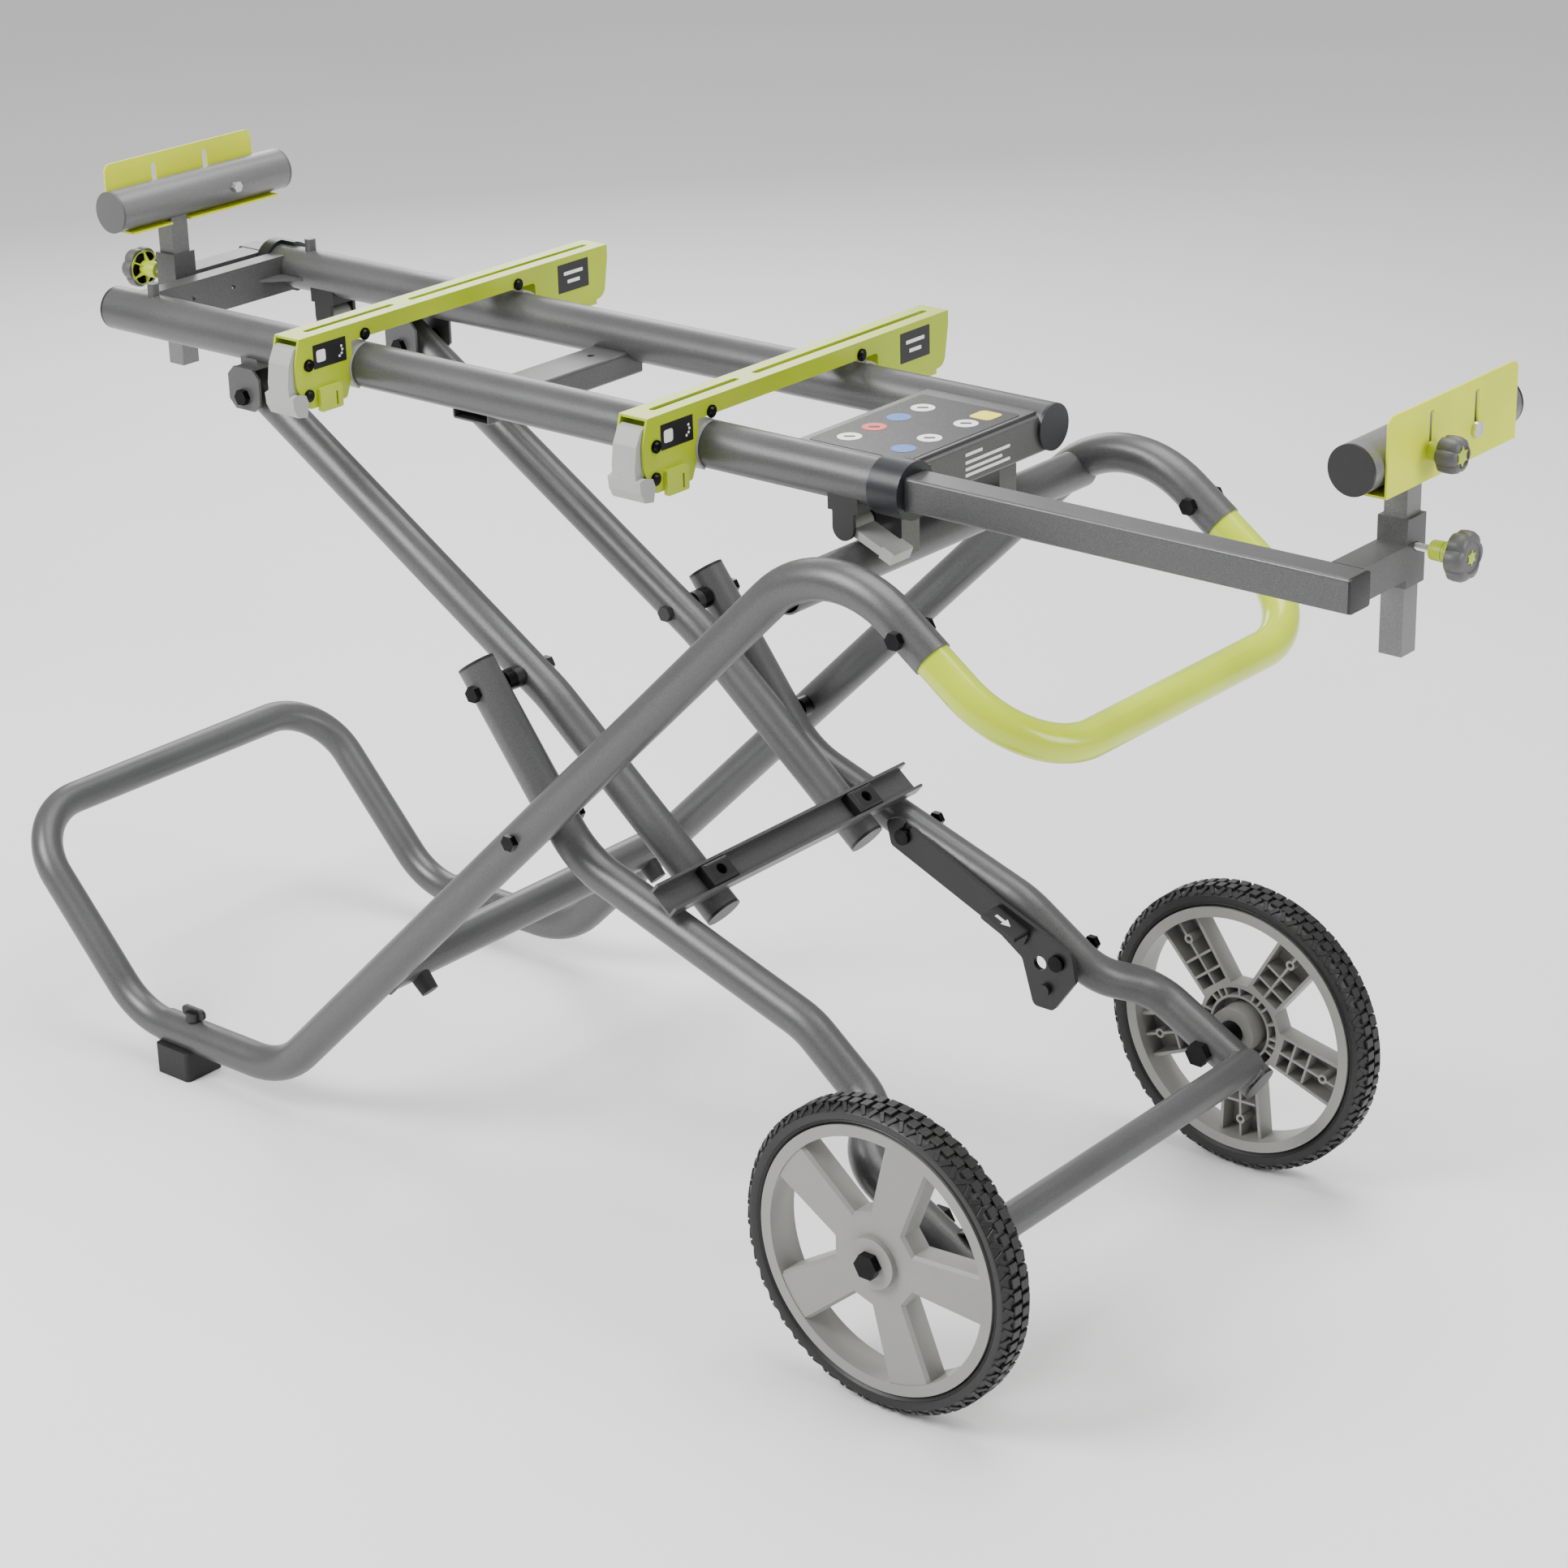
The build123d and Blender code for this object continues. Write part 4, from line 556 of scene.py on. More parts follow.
class RingTree(GrowTree):
    """Blocks set around a ring, with the ring's axis along Y."""

    def __init__(self) -> None:
        """Build the tree."""
        super().__init__("blocks_on_a_ring", {
            "Count": ("NodeSocketInt", 60), "Radius": ("NodeSocketFloat", 0.15),
            "Offset": ("NodeSocketFloat", 0.0),
            "Phase": ("NodeSocketFloat", 0.0), "Skew": ("NodeSocketFloat", 0.0),
            "Lean": ("NodeSocketFloat", 0.0),
            "Block": ("NodeSocketVector", (0.01, 0.01, 0.003)), "Material": ("NodeSocketMaterial", 0)})
        inputs = self.start.outputs
        points = self.node("GeometryNodePoints")
        index = self.node("GeometryNodeInputIndex")
        angle = self.math("ADD", self.math("DIVIDE", self.math("MULTIPLY", index.outputs[0], 2 * math.pi),
                                           inputs["Count"]), inputs["Phase"])
        place = self.node("ShaderNodeCombineXYZ")
        self.link(self.math("MULTIPLY", self.math("COSINE", angle), inputs["Radius"]), place.inputs[0])
        self.link(inputs["Offset"], place.inputs[1])
        self.link(self.math("MULTIPLY", self.math("SINE", angle), inputs["Radius"]), place.inputs[2])
        self.link(inputs["Count"], points.inputs["Count"])
        self.link(place.outputs[0], points.inputs["Position"])
        turn = self.node("ShaderNodeCombineXYZ")
        self.link(inputs["Lean"], turn.inputs[0])
        self.link(self.math("SUBTRACT", math.pi / 2, angle), turn.inputs[1])
        cube = self.node("GeometryNodeMeshCube")
        self.link(inputs["Block"], cube.inputs["Size"])
        skew = self.node("GeometryNodeTransform")
        spin = self.node("ShaderNodeCombineXYZ")
        self.link(inputs["Skew"], spin.inputs[2])
        self.link(cube.outputs["Mesh"], skew.inputs["Geometry"])
        self.link(spin.outputs[0], skew.inputs["Rotation"])
        spread = self.node("GeometryNodeInstanceOnPoints")
        self.link(points.outputs[0], spread.inputs["Points"])
        self.link(skew.outputs[0], spread.inputs["Instance"])
        self.link(turn.outputs[0], spread.inputs["Rotation"])
        self.close(spread.outputs[0])


class ScrewTree(GrowTree):
    """Pan-head screws with a recess, one on each point of a mesh, all facing along X."""

    def __init__(self) -> None:
        """Build the tree."""
        super().__init__("screws_on_points", {
            "Head radius": ("NodeSocketFloat", 0.006), "Head height": ("NodeSocketFloat", 0.003),
            "Material": ("NodeSocketMaterial", 0)})
        inputs = self.start.outputs
        flange = self.node("GeometryNodeMeshCylinder", Vertices=24)
        head = self.node("GeometryNodeMeshCone", Vertices=20)
        socket = self.node("GeometryNodeMeshCylinder", Vertices=6)
        self.link(inputs["Head radius"], flange.inputs["Radius"])
        self.link(self.math("MULTIPLY", inputs["Head height"], 0.5), flange.inputs["Depth"])
        self.link(self.math("MULTIPLY", inputs["Head radius"], 0.82), head.inputs["Radius Bottom"])
        self.link(self.math("MULTIPLY", inputs["Head radius"], 0.56), head.inputs["Radius Top"])
        self.link(inputs["Head height"], head.inputs["Depth"])
        self.link(self.math("MULTIPLY", inputs["Head radius"], 0.34), socket.inputs["Radius"])
        self.link(self.math("MULTIPLY", inputs["Head height"], 2.1), socket.inputs["Depth"])
        join = self.node("GeometryNodeJoinGeometry")
        for part in (flange.outputs["Mesh"], head.outputs["Mesh"], socket.outputs["Mesh"]):
            self.link(part, join.inputs[0])
        tilt = self.node("GeometryNodeTransform")
        tilt.inputs["Rotation"].default_value = (0.0, math.pi / 2, 0.0)
        self.link(join.outputs[0], tilt.inputs["Geometry"])
        spread = self.node("GeometryNodeInstanceOnPoints")
        self.link(self.start.outputs["Geometry"], spread.inputs["Points"])
        self.link(tilt.outputs[0], spread.inputs["Instance"])
        self.close(spread.outputs[0])


class WeldTree(GrowTree):
    """Weld beads in a row along an edge loop, with seeded changes in size."""

    def __init__(self) -> None:
        """Build the tree."""
        super().__init__("weld_beads", {
            "Step": ("NodeSocketFloat", 0.0022), "Bead": ("NodeSocketFloat", 0.0026),
            "Seed": ("NodeSocketInt", 3),
            "Material": ("NodeSocketMaterial", 0)})
        inputs = self.start.outputs
        curve = self.node("GeometryNodeMeshToCurve")
        spaced = self.node("GeometryNodeResampleCurve", mode="LENGTH")
        self.link(self.start.outputs["Geometry"], curve.inputs["Mesh"])
        self.link(curve.outputs[0], spaced.inputs["Curve"])
        self.link(inputs["Step"], spaced.inputs["Length"])
        bead = self.node("GeometryNodeMeshIcoSphere", Subdivisions=2)
        self.link(inputs["Bead"], bead.inputs["Radius"])
        change = self.node("FunctionNodeRandomValue", data_type="FLOAT")
        change.inputs[2].default_value = 0.82
        change.inputs[3].default_value = 1.12
        self.link(inputs["Seed"], change.inputs["Seed"])
        spread = self.node("GeometryNodeInstanceOnPoints")
        self.link(spaced.outputs[0], spread.inputs["Points"])
        self.link(bead.outputs["Mesh"], spread.inputs["Instance"])
        self.link(change.outputs[1], spread.inputs["Scale"])
        self.close(spread.outputs[0])


def points_mesh(points: list[Vector], loop: bool = False) -> bpy.types.Mesh:
    """Make a mesh of points, joined as a closed loop where asked."""
    mesh = bpy.data.meshes.new("points")
    edges = [(i, (i + 1) % len(points)) for i in range(len(points))] if loop else []
    mesh.from_pydata([tuple(p) for p in points], edges, [])
    return mesh


def join_meshes(meshes: list[bpy.types.Mesh], shift: Vector | None = None) -> bmesh.types.BMesh:
    """Join meshes into one.

    Args:
        meshes: The meshes to join.
        shift: A move that is applied to all of them.

    Returns:
        The joined mesh.
    """
    bm = bmesh.new()
    for mesh in meshes:
        bm.from_mesh(mesh)
    if shift is not None:
        bmesh.ops.translate(bm, verts=bm.verts, vec=shift)
    return bm


# ---- sub-assemblies -----------------------------------------------------------------------------
@dataclass
class CarriedNodes:
    """The CAD nodes that stay, by finish; names in pairs come once for each ending."""

    single: dict[str, tuple[str, ...]] = field(default_factory=lambda: {
        "gloss_lime": ("handle_loop",),
        "rubber": ("leg_bumpers", "foot_pads"),
        "bolt": ("leg_fasteners", "table_bolts", "wheel_frame_bolts"),
        "collar": ("rail_end_fittings",),
        "black": ("foot_wing_bolt", "arm_lock_saddles", "wheel_frame_caps", "lock_bar", "lock_pedal_pad",
                  "rest_saddles", "link_frame_fittings", "support_caps_right"),
        "knob_grey": ("support_caps_left",)})
    by_side: dict[str, tuple[str, ...]] = field(default_factory=lambda: {"rim": ("rim",), "tyre": ("tyre",)})
    by_hand: dict[str, tuple[str, ...]] = field(default_factory=lambda: {
        "silver": ("post",),
        "zinc": ("carriage_bolt",),
        "pale_lime": ("stop_plate",),
        "knob_grey": ("plate_knob", "sleeve_knob"),
        "grey": ("arm_lever", "bracket_lever"),
        "lime": ("saw_bracket",),
        "lime_plastic": ("bracket_blocks",)})

    def table(self) -> dict[str, str]:
        """Spread the groups out.

        Returns:
            The finish of each node.
        """
        names: dict[str, str] = {}
        for groups, endings in ((self.single, ("",)), (self.by_side, ("_near", "_far")),
                                (self.by_hand, ("_right", "_left"))):
            for finish, stems in groups.items():
                names.update({stem + ending: finish for stem in stems for ending in endings})
        return names

    def dress(self, nodes: dict[str, bpy.types.Object], finishes: Finishes) -> None:
        """Give every CAD node its finish; tubes and plates without one get the dark coat.

        Args:
            nodes: CAD node objects by name.
            finishes: The stand's finishes.
        """
        finish_of = self.table()
        for name, obj in nodes.items():
            material = finishes.get(finish_of.get(name, "dark"))
            if not obj.material_slots:
                obj.data.materials.append(material)
            for held in obj.material_slots:
                held.material = material
            log.info("node %s dressed in %s", name, material.name)


@dataclass
class Wheel:
    """One wheel's tyre: a carcass with rows of tread blocks and shoulder lugs."""

    side: str
    tread_radius: float = 0.1524
    groove: float = 0.0036
    blocks: int = 72
    lugs: int = 44

    def build(self, bench: Bench, ring: RingTree) -> None:
        """Make the tyre.

        Args:
            bench: The piece maker.
            ring: The tree that sets blocks around.
        """
        low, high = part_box(f"tyre_{self.side}")
        centre = (low + high) / 2
        half = (high.y - low.y) / 2
        axis = Vector((0, 1, 0))
        base = self.tread_radius - self.groove
        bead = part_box(f"rim_{self.side}")
        seat = (bead[1].x - bead[0].x) / 2
        wall = [(seat - 0.0024, 0.008), (seat + 0.0002, 0.005), (seat + 0.004, 0.0008),
                (seat + 0.0048, 0.0016), (seat + 0.008, 0.0002), (base - 0.005, 0.0002),
                (base - 0.002, 0.003), (base, 0.008)]
        profile = [(radius, -half + inset) for radius, inset in wall] + [(base + 0.0003, 0.0)]
        profile += [(radius, half - inset) for radius, inset in reversed(wall)]
        bm = bmesh.new()
        add_lathe(bm, profile, centre, axis, 128)
        pitch = 2 * math.pi / self.blocks
        material = bench.finishes.get("tyre")
        rows = []
        for offset, phase in ((-0.0058, 0.0), (0.0058, 0.5 * pitch)):
            rows.append(ring.run(points_mesh([Vector()]), {
                "Count": self.blocks, "Radius": base + self.groove / 2 - 0.0002, "Offset": offset,
                "Phase": phase,
                "Skew": 0.0, "Lean": 0.0,
                "Block": (2 * math.pi * base / self.blocks * 0.70, 0.0102, self.groove),
                "Material": material}))
        step = 2 * math.pi / self.lugs
        for way in (-1, 1):
            for skew, phase in ((0.55, 0.0), (-0.55, 0.5 * step)):
                rows.append(ring.run(points_mesh([Vector()]), {
                    "Count": self.lugs, "Radius": base - 0.0016,
                    "Offset": way * (half - 0.0048), "Phase": phase,
                    "Skew": way * skew, "Lean": -way * 0.62, "Block": (0.0042, 0.0105, 0.0040),
                    "Material": material}))
        joined = join_meshes(rows, centre)
        bmesh.ops.bevel(joined, geom=list(joined.edges), offset=0.0004, segments=1, affect="EDGES")
        spare = bpy.data.meshes.new("tread")
        joined.to_mesh(spare)
        joined.free()
        bm.from_mesh(spare)
        for vert in bm.verts:
            flat = vert.co - centre
            radius = math.hypot(flat.x, flat.z)
            if radius > self.tread_radius:
                vert.co = centre + Vector((flat.x * self.tread_radius / radius, flat.y,
                                           flat.z * self.tread_radius / radius))
            vert.co.y = min(max(vert.co.y, low.y), high.y)
        tyre = bench.piece(f"treaded_tyre_{self.side}", bm, "tyre", f"wheel_{self.side}", 28.0)
        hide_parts(f"tyre_{self.side}")


@dataclass
class Knob:
    """A clamping knob: grey lobes round a lime core and stem."""

    node: str
    body: str
    lobes: int = 6
    stem: float = 0.0085
    stem_length: float = 0.0118
    lobe_depth: float = 0.15
    open_back: float = 0.0
    star_share: float = 0.80

    def build(self, bench: Bench) -> None:
        """Make the lobed grip, its lime core and its threaded stem.

        Args:
            bench: The piece maker.
        """
        low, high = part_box(self.node)
        centre = (low + high) / 2
        out = 1.0 if centre.x > 0 else -1.0
        face = high.x if out > 0 else low.x
        radius = (high.z - low.z) / 2
        thick = 0.020 if radius < 0.020 else 0.026
        root = face - out * thick
        bm = bmesh.new()
        steps = 72
        shape = [(0.80, 0.0), (0.97, 0.10), (1.0, 0.35), (0.99, 0.68), (0.90, 0.90), (0.72, 1.0), (0.60, 1.0),
                 (0.56, 0.93)]
        rings = []
        for share, depth in shape:
            ring = []
            for i in range(steps):
                a = 2 * math.pi * i / steps
                wave = 0.5 + 0.5 * math.cos(self.lobes * a)
                dip = self.lobe_depth * (1.0 - wave ** 0.35) if share > 0.65 else 0.0
                r = radius * share * (1.0 - dip)
                reach = self.open_back + depth * (1.0 - self.open_back)
                ring.append(bm.verts.new(Vector((root + out * thick * reach, centre.y + r * math.cos(a),
                                                 centre.z + r * math.sin(a)))))
            rings.append(ring)
        for lower, upper in zip(rings, rings[1:]):
            for i in range(steps):
                k = (i + 1) % steps
                bm.faces.new((lower[i], lower[k], upper[k], upper[i]))
        bm.faces.new(rings[0])
        bm.faces.new(rings[-1])
        grip = bench.piece(f"{self.node}_grip", bm, "knob_grey", self.body, 40.0)
        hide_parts(self.node)
        core = bmesh.new()
        add_prism(core, self.star(radius * self.star_share * 0.74),
                  facing(Vector((face - out * 0.0024, centre.y, centre.z)), Vector((out, 0, 0)),
                         Vector((0, 0, 1))), 0.0018, 0.0005)
        add_lathe(core, [(0.0, 0.0), (self.stem * 0.94, 0.0), (self.stem, 0.001),
                         (self.stem * 1.05, self.stem_length), (0.0, self.stem_length)],
                  Vector((root - out * self.stem_length, centre.y, centre.z)),
                  Vector((out, 0, 0)), 32)
        if self.open_back:
            self.add_back(core, Vector((root, centre.y, centre.z)), out, thick, radius)
        bench.piece(f"{self.node}_core", core, "lime_plastic", self.body, 40.0)
        start = low.x if out > 0 else high.x
        bolt = bmesh.new()
        profile = [(0.0, 0.0), (0.0028, 0.0)]
        length = abs(root - start) - 0.0116
        turns = max(3, int(length / 0.0016))
        for i in range(turns):
            profile.append((0.0034, (i + 0.45) * length / turns))
            profile.append((0.0028, (i + 0.95) * length / turns))
        profile.append((0.0, length))
        add_lathe(bolt, profile, Vector((start, centre.y, centre.z)), Vector((out, 0, 0)), 20)
        bench.piece(f"{self.node}_thread", bolt, "zinc", self.body, 50.0)

    def add_back(self, core: bmesh.types.BMesh, root: Vector, out: float, thick: float,
                 radius: float) -> None:
        """Add the core's back plate, its long stem and the ribs between them.

        Args:
            core: The core's mesh.
            root: The middle of the head's inner end.
            out: 1 or -1, the way outwards along X.
            thick: The head's depth.
            radius: The head's radius.
        """
        reach = self.open_back * thick
        axis = Vector((out, 0, 0))
        add_lathe(core, [(0.0, 0.0), (self.stem, 0.0), (self.stem, reach), (0.84 * radius, reach),
                         (0.84 * radius, reach + 0.001), (0.0, reach + 0.001)], root, axis, 40)
        for i in range(self.lobes):
            a = 2 * math.pi * (i + 0.5) / self.lobes
            ray = Vector((0, math.cos(a), math.sin(a)))
            side = facing(root + axis * reach, axis.cross(ray), ray)
            lean = 1.0 if (side.to_3x3() @ Vector((1, 0, 0))).dot(axis) < 0 else -1.0
            rib = [(0.0, self.stem * 0.9), (0.0, 0.80 * radius), (lean * reach * 0.85, self.stem * 0.9)]
            add_prism(core, rib, side @ Matrix.Translation((0, 0, -0.0007)), 0.0014)

    def star(self, radius: float) -> list[tuple[float, float]]:
        """Give the outline of the core's face, with a short arm between lobes.

        Returns:
            The outline's points.
        """
        points = []
        for i in range(self.lobes):
            middle = 2 * math.pi * (i + 0.5) / self.lobes
            for share, turn in ((0.66, -0.30), (0.66, -0.13), (0.97, -0.10), (0.97, 0.10), (0.66, 0.13),
                                (0.66, 0.30)):
                points.append((radius * share * math.cos(middle + turn),
                               radius * share * math.sin(middle + turn)))
        return points


@dataclass
class BracketTrim:
    """Screws, labels and liner rings of one saw bracket."""

    hand: str
    screw_spots: tuple[tuple[float, float], ...] = ((-0.113, -0.014), (0.106, -0.013), (-0.190, -0.028),
                                                    (-0.192, -0.058))
    label: tuple[float, float, float, float] = (0.189, -0.022, 0.046, 0.030)
    sticker: tuple[float, float, float, float] = (-0.161, -0.022, 0.044, 0.024)
    liner_gap: float = 0.0004
    liner_wall: float = 0.0022
    liner_proud: float = 0.0009

    def build(self, bench: Bench, screws: ScrewTree) -> None:
        """Make the trim.

        Args:
            bench: The piece maker.
            screws: The tree that sets screws on points.
        """
        low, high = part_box(f"saw_bracket_{self.hand}")
        body = f"bracket_{self.hand}"
        face = high.x
        spots = [Vector((face + 0.0009, y, high.z + z)) for y, z in self.screw_spots]
        mesh = screws.run(points_mesh(spots), {"Head radius": 0.0062, "Head height": 0.0030,
                                               "Material": bench.finishes.get("bolt")})
        bench.piece(f"bracket_screws_{self.hand}", mesh, "bolt", body)
        self.plates(bench, body, face, high.z)
        self.liners(bench, body, low, high)

    def plates(self, bench: Bench, body: str, face: float, top: float) -> None:
        """Make the two labels: plain panels with generic marks.

        Args:
            bench: The piece maker.
            body: The bracket's body.
            face: X of the bracket's outer face.
            top: Height of the bracket's top.
        """
        for kind, (y, z, width, height) in (("label", self.label), ("sticker", self.sticker)):
            place = facing(Vector((face, y, top + z)), Vector((1, 0, 0)), Vector((0, 0, 1)))
            bm = bmesh.new()
            add_prism(bm, rounded(width, height, 0.0008), place, 0.0003)
            bench.piece(f"bracket_{kind}_{self.hand}", bm, "ink", body, None)
            marks = bmesh.new()
            if kind == "label":
                for row, share in ((0.15, 0.62), (-0.15, 0.40)):
                    add_prism(marks, rounded(width * share, height * 0.12, 0.0006),
                              place @ Matrix.Translation((0, row * height, 0)), 0.0005)
            else:
                left = place @ Matrix.Translation((-0.27 * width, 0.0, 0))
                add_prism(marks, rounded(0.5 * height, 0.5 * height, 0.1 * height), left, 0.0005)
                right = place @ Matrix.Translation((0.24 * width, 0.0, 0))
                for i in range(4):
                    a = math.radians(-70 + 35 * i)
                    spot = right @ Matrix.Translation((0.26 * height * math.cos(a),
                                                       0.26 * height * math.sin(a), 0))
                    add_prism(marks, regular(0.055 * height, 10), spot, 0.0005)
            bench.piece(f"bracket_{kind}_marks_{self.hand}", marks, "paper", body, None)

    def liners(self, bench: Bench, body: str, low: Vector, high: Vector) -> None:
        """Make the thin grey liners between the bracket's cheeks and the rails.

        Args:
            bench: The piece maker.
            body: The bracket's body.
            low: Lowest corner of the bracket.
            high: Highest corner of the bracket.
        """
        bm = bmesh.new()
        for side, start, stop in (("near", 92.0, 236.0), ("far", -18.0, 88.0)):
            a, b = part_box(f"rail_{side}")
            y, z, radius = (a.y + b.y) / 2, (a.z + b.z) / 2, (b.z - a.z) / 2
            inner, outer = radius + self.liner_gap, radius + self.liner_gap + self.liner_wall
            steps = 28
            previous = None
            for i in range(steps + 1):
                t = math.radians(start + (stop - start) * i / steps)
                ring = [bm.verts.new(Vector((x, y + r * math.cos(t), z + r * math.sin(t))))
                        for x, r in ((low.x - self.liner_proud, inner), (high.x + self.liner_proud, inner),
                                     (high.x + self.liner_proud, outer),
                                     (low.x - self.liner_proud, outer))]
                if previous:
                    for j in range(4):
                        k = (j + 1) % 4
                        bm.faces.new((previous[j], ring[j], ring[k], previous[k]))
                else:
                    bm.faces.new(ring)
                previous = ring
            bm.faces.new(list(reversed(previous)))
        bench.piece(f"bracket_liners_{self.hand}", bm, "grey", body, 40.0)


@dataclass
class TableTrim:
    """The pictogram panel and the end box's label on the table."""

    panel_inset: float = 0.006
    disc: float = 0.0115
    label: tuple[float, float] = (0.074, 0.026)

    def build(self, bench: Bench) -> None:
        """Make the panel with generic coloured marks, and the label.

        Args:
            bench: The piece maker.
        """
        low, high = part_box("top_plate")
        width = high.x - low.x - 2 * self.panel_inset
        depth = high.y - low.y - 0.024
        place = facing(Vector(((low.x + high.x) / 2 + 0.002, -0.006, high.z)), Vector((0, 0, 1)),
                       Vector((0, 1, 0)))
        bm = bmesh.new()
        add_prism(bm, rounded(width, depth, 0.004), place, 0.0004)
        bench.piece("table_panel", bm, "ink", "table", None)
        groups: dict[str, list[tuple[float, float]]] = {
            "paper": [(-0.030, 0.050), (-0.030, -0.058), (0.032, -0.020), (0.032, 0.034)],
            "blue": [(-0.030, 0.014), (0.032, -0.058)],
            "red": [(-0.030, -0.022)],
        }
        for finish, spots in groups.items():
            marks = bmesh.new()
            for x, y in spots:
                add_prism(marks, regular(self.disc, 28), place @ Matrix.Translation((x, y, 0)), 0.0006)
            bench.piece(f"panel_discs_{finish}", marks, finish, "table", None)
        marks = bmesh.new()
        add_prism(marks, rounded(0.024, 0.024, 0.005), place @ Matrix.Translation((0.032, 0.064, 0)), 0.0006)
        bench.piece("panel_square", marks, "yellow", "table", None)
        inner = bmesh.new()
        for x, y in groups["paper"] + groups["red"]:
            add_prism(inner, rounded(self.disc * 0.9, self.disc * 0.34, 0.001),
                      place @ Matrix.Translation((x, y, 0.0003)) @ Matrix.Rotation(0.6, 4, "Z"), 0.0006)
        bench.piece("panel_bars", inner, "ink", "table", None)
        self.end_label(bench)

    def end_label(self, bench: Bench) -> None:
        """Make the label on the end box, with plain bars in place of words."""
        low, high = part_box("right_end_box")
        place = facing(Vector((high.x, 0.018, (low.z + high.z) / 2)), Vector((1, 0, 0)), Vector((0, 0, 1)))
        marks = bmesh.new()
        width, height = self.label
        for row, share in ((0.36, 0.34), (0.08, 0.9), (-0.16, 0.74), (-0.38, 0.9)):
            shift = Matrix.Translation((-(1 - share) * width / 2, row * height, 0))
            add_prism(marks, rounded(width * share, height * 0.11, 0.0008), place @ shift, 0.0003)
        bench.piece("end_box_label", marks, "paper", "table", None)


@dataclass
class ArmCap:
    """The plastic plug in an extension arm's outer end."""

    hand: str
    proud: float = 0.0024
    inset: float = 0.0002

    def build(self, bench: Bench) -> None:
        """Make the cap.

        Args:
            bench: The piece maker.
        """
        low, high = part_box(f"arm_{self.hand}")
        out = 1.0 if self.hand == "right" else -1.0
        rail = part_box("rail_near" if self.hand == "right" else "rail_far")
        y, z = (rail[0].y + rail[1].y) / 2, (rail[0].z + rail[1].z) / 2
        end = high.x if out > 0 else low.x
        size = 0.031 - 2 * self.inset
        bm = bmesh.new()
        add_prism(bm, rounded(size, size, 0.003),
                  facing(Vector((end, y, z)), Vector((out, 0, 0)), Vector((0, 0, 1))),
                  self.proud, 0.0008)
        add_prism(bm, rounded(size - 0.0046, size - 0.0046, 0.001),
                  facing(Vector((end, y, z)), Vector((-out, 0, 0)), Vector((0, 0, 1))), 0.010)
        bench.piece(f"arm_cap_{self.hand}", bm, "black", f"extension_{self.hand}", 40.0)


@dataclass
class Welds:
    """Weld seams where cross tubes meet the legs and the wheel frame."""

    leg_radius: float = 0.01905
    leg_y: float = 0.2214
    flare_y: float = 0.2320
    leg_line: tuple[tuple[float, float], tuple[float, float]] = ((-0.428, 0.04405), (0.332, 0.785))
    frame_line: tuple[tuple[float, float], tuple[float, float]] = ((0.369, 0.196), (0.493, 0.128))
    lower: tuple[float, float] = (-0.270, 0.198)
    axle: tuple[float, float] = (0.484, 0.147)
    axle_radius: float = 0.016

    def seam(self, spot: tuple[float, float], radius: float,
             line: tuple[tuple[float, float], tuple[float, float]],
             y: float, side: int) -> list[Vector]:
        """Give the loop where a tube along Y meets a tube in an XZ plane.

        Args:
            spot: X and Z of the cross tube's axis.
            radius: The cross tube's radius.
            line: Two points of the other tube's axis.
            y: Distance of the other tube's plane from the middle.
            side: -1 for the near side, 1 for the far side.

        Returns:
            The loop's points.
        """
        (ax, az), (bx, bz) = line
        length = math.hypot(bx - ax, bz - az)
        nx, nz = -(bz - az) / length, (bx - ax) / length
        points = []
        for i in range(48):
            a = 2 * math.pi * i / 48
            x = spot[0] + radius * math.cos(a)
            z = spot[1] + radius * math.sin(a)
            away = (x - ax) * nx + (z - az) * nz
            if abs(away) > self.leg_radius * 0.985:
                continue
            points.append(Vector((x, side * (y - math.sqrt(self.leg_radius ** 2 - away ** 2)), z)))
        return points

    def build(self, bench: Bench, beads: WeldTree) -> None:
        """Make every seam.

        Args:
            bench: The piece maker.
            beads: The tree that sets beads along a loop.
        """
        low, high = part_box("axle_cross_tube")
        self.axle = ((low.x + high.x) / 2, self.axle[1])
        slope = (self.leg_line[1][1] - self.leg_line[0][1]) / (self.leg_line[1][0] - self.leg_line[0][0])
        lower = (self.lower[0], self.leg_line[0][1] + slope * (self.lower[0] - self.leg_line[0][0]))
        for name, body, finish, spot, radius, line, y in (
                ("leg_welds", "leg_frame", "dark", lower, self.leg_radius, self.leg_line, self.leg_y),
                ("axle_welds", "wheel_frame", "dark", self.axle, self.axle_radius, self.frame_line,
                 self.flare_y)):
            made = []
            for side in (-1, 1):
                loop = self.seam(spot, radius, line, y, side)
                made.append(beads.run(points_mesh(loop, True), {
                    "Step": 0.0023, "Bead": 0.0024, "Seed": 7 + side,
                    "Material": bench.finishes.get(finish)}))
            bench.piece(name, join_meshes(made), finish, body, 60.0)


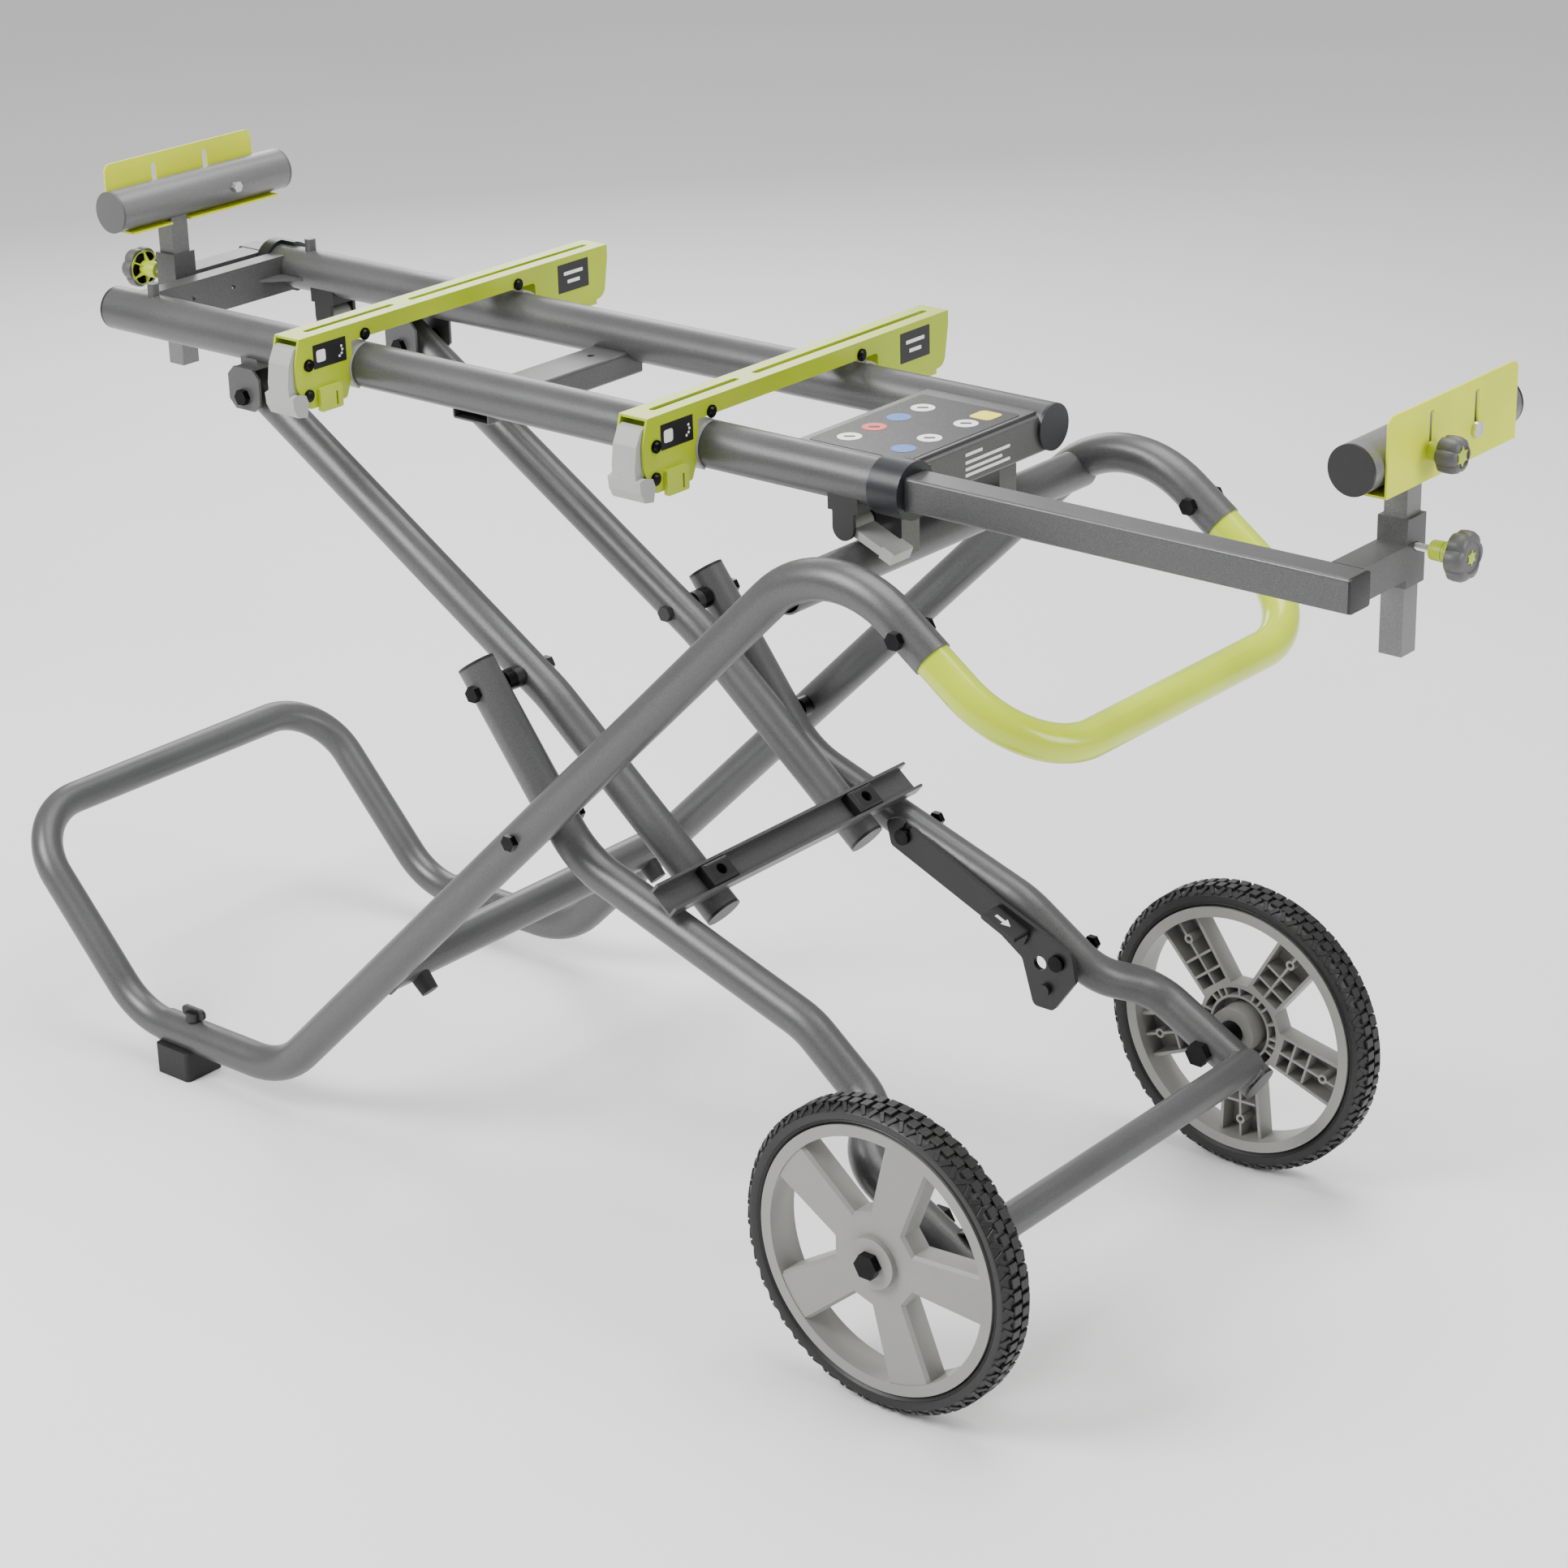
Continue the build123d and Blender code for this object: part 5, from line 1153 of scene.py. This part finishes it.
@dataclass
class PedalMark:
    """The generic arrow moulded on the foot lock's pedal."""

    size: float = 0.012

    def build(self, bench: Bench) -> None:
        """Make the arrow.

        Args:
            bench: The piece maker.
        """
        low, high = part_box("lock_pedal_pad")
        slope = math.radians(24.0)
        middle = Vector(((low.x + high.x) / 2, (low.y + high.y) / 2 - 0.002, 0.0))
        middle.z = 0.276 + 0.0034
        normal = Vector((math.sin(slope), 0, math.cos(slope)))
        place = facing(middle, normal, Vector((0, 1, 0)))
        s = self.size
        bm = bmesh.new()
        arrow = [(-0.9 * s, -0.16 * s), (0.0, -0.16 * s), (0.0, -0.5 * s), (0.7 * s, 0.0), (0.0, 0.5 * s),
                 (0.0, 0.16 * s), (-0.9 * s, 0.16 * s)]
        add_prism(bm, arrow, place, 0.0005)
        bench.piece("pedal_arrow", bm, "paper", "lock_pedal", None)


# ---- studio --------------------------------------------------------------------------------------
@dataclass
class Studio:
    """Floor, lights and camera."""

    camera_spot: tuple[float, float, float] = (2.2928, -2.5993, 1.8416)
    azimuth: float = 40.3145
    elevation: float = 22.5686
    roll: float = -1.5205
    lens: float = 86.71
    floor_size: float = 60.0

    def build(self) -> None:
        """Make the floor, the lights, the world and the camera."""
        self.floor()
        self.world()
        for name, spot, aim, size, power in (
                ("key_softbox", (-1.2, -2.6, 3.0), (0.0, 0.0, 0.5), 1.8, 175.0),
                ("top_softbox", (0.2, 0.6, 3.6), (0.0, 0.0, 0.6), 2.4, 120.0),
                ("side_softbox", (3.4, 0.6, 1.8), (0.0, 0.0, 0.5), 1.4, 55.0),
                ("back_softbox", (-2.6, 2.2, 2.0), (0.0, 0.0, 0.6), 1.8, 50.0)):
            self.softbox(name, Vector(spot), Vector(aim), size, power)
        camera = bpy.data.cameras.new("camera")
        camera.lens = self.lens
        camera.sensor_width = 36.0
        camera.clip_end = 100.0
        obj = bpy.data.objects.new("camera", camera)
        turn = (Euler((0, 0, math.radians(self.azimuth))).to_matrix()
                @ Euler((math.radians(90 - self.elevation), 0, 0)).to_matrix()
                @ Euler((0, 0, math.radians(self.roll))).to_matrix())
        obj.matrix_world = Matrix.Translation(self.camera_spot) @ turn.to_4x4()
        bpy.context.scene.collection.objects.link(obj)
        bpy.context.scene.camera = obj

    def floor(self) -> None:
        """Make the pale floor."""
        mesh = bpy.data.meshes.new("floor")
        h = self.floor_size / 2
        z = -0.0004
        mesh.from_pydata([(-h, -h, z), (h, -h, z), (h, h, z), (-h, h, z)], [], [(0, 1, 2, 3)])
        obj = bpy.data.objects.new("floor", mesh)
        shader = Shader("pale_floor")
        soft = shader.noise(1.5, 2.0)
        shader.link(shader.ramp(soft, [(0.3, (0.86, 0.86, 0.86)), (0.7, (0.89, 0.89, 0.89))]),
                    shader.bsdf.inputs["Base Color"])
        shader.set(Roughness=0.9)
        mesh.materials.append(shader.material)
        bpy.context.scene.collection.objects.link(obj)

    def world(self) -> None:
        """Set an even pale world light."""
        world = bpy.data.worlds.new("studio_world")
        world.use_nodes = True
        back = world.node_tree.nodes["Background"]
        back.inputs["Color"].default_value = (1.0, 1.0, 1.0, 1.0)
        back.inputs["Strength"].default_value = 0.6
        bpy.context.scene.world = world

    def softbox(self, name: str, spot: Vector, aim: Vector, size: float, power: float) -> None:
        """Add a square area light.

        Args:
            name: The light's name.
            spot: Where it stands.
            aim: The point that it faces.
            size: Its side.
            power: Its power in watts.
        """
        light = bpy.data.lights.new(name, "AREA")
        light.shape = "SQUARE"
        light.size = size
        light.energy = power
        obj = bpy.data.objects.new(name, light)
        obj.location = spot
        obj.rotation_euler = (aim - spot).to_track_quat("-Z", "Y").to_euler()
        bpy.context.scene.collection.objects.link(obj)


def main() -> None:
    """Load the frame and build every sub-assembly in order."""
    logging.basicConfig(level=logging.INFO, format="%(name)s: %(message)s")
    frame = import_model()
    Studio().build()
    finishes = Finishes()
    bench = Bench(finishes)
    CarriedNodes().dress(frame["nodes"], finishes)
    ring, screws, beads = RingTree(), ScrewTree(), WeldTree()
    for side in ("near", "far"):
        Wheel(side).build(bench, ring)
    for hand in ("right", "left"):
        Knob(f"plate_knob_{hand}", f"plate_clamp_{hand}", stem=0.0078).build(bench)
        Knob(f"sleeve_knob_{hand}", f"sleeve_clamp_{hand}", open_back=0.34, star_share=0.45).build(bench)
        ArmCap(hand).build(bench)
        BracketTrim(hand).build(bench, screws)
    TableTrim().build(bench)
    Welds().build(bench, beads)
    PedalMark().build(bench)


if __name__ == "__main__":
    main()
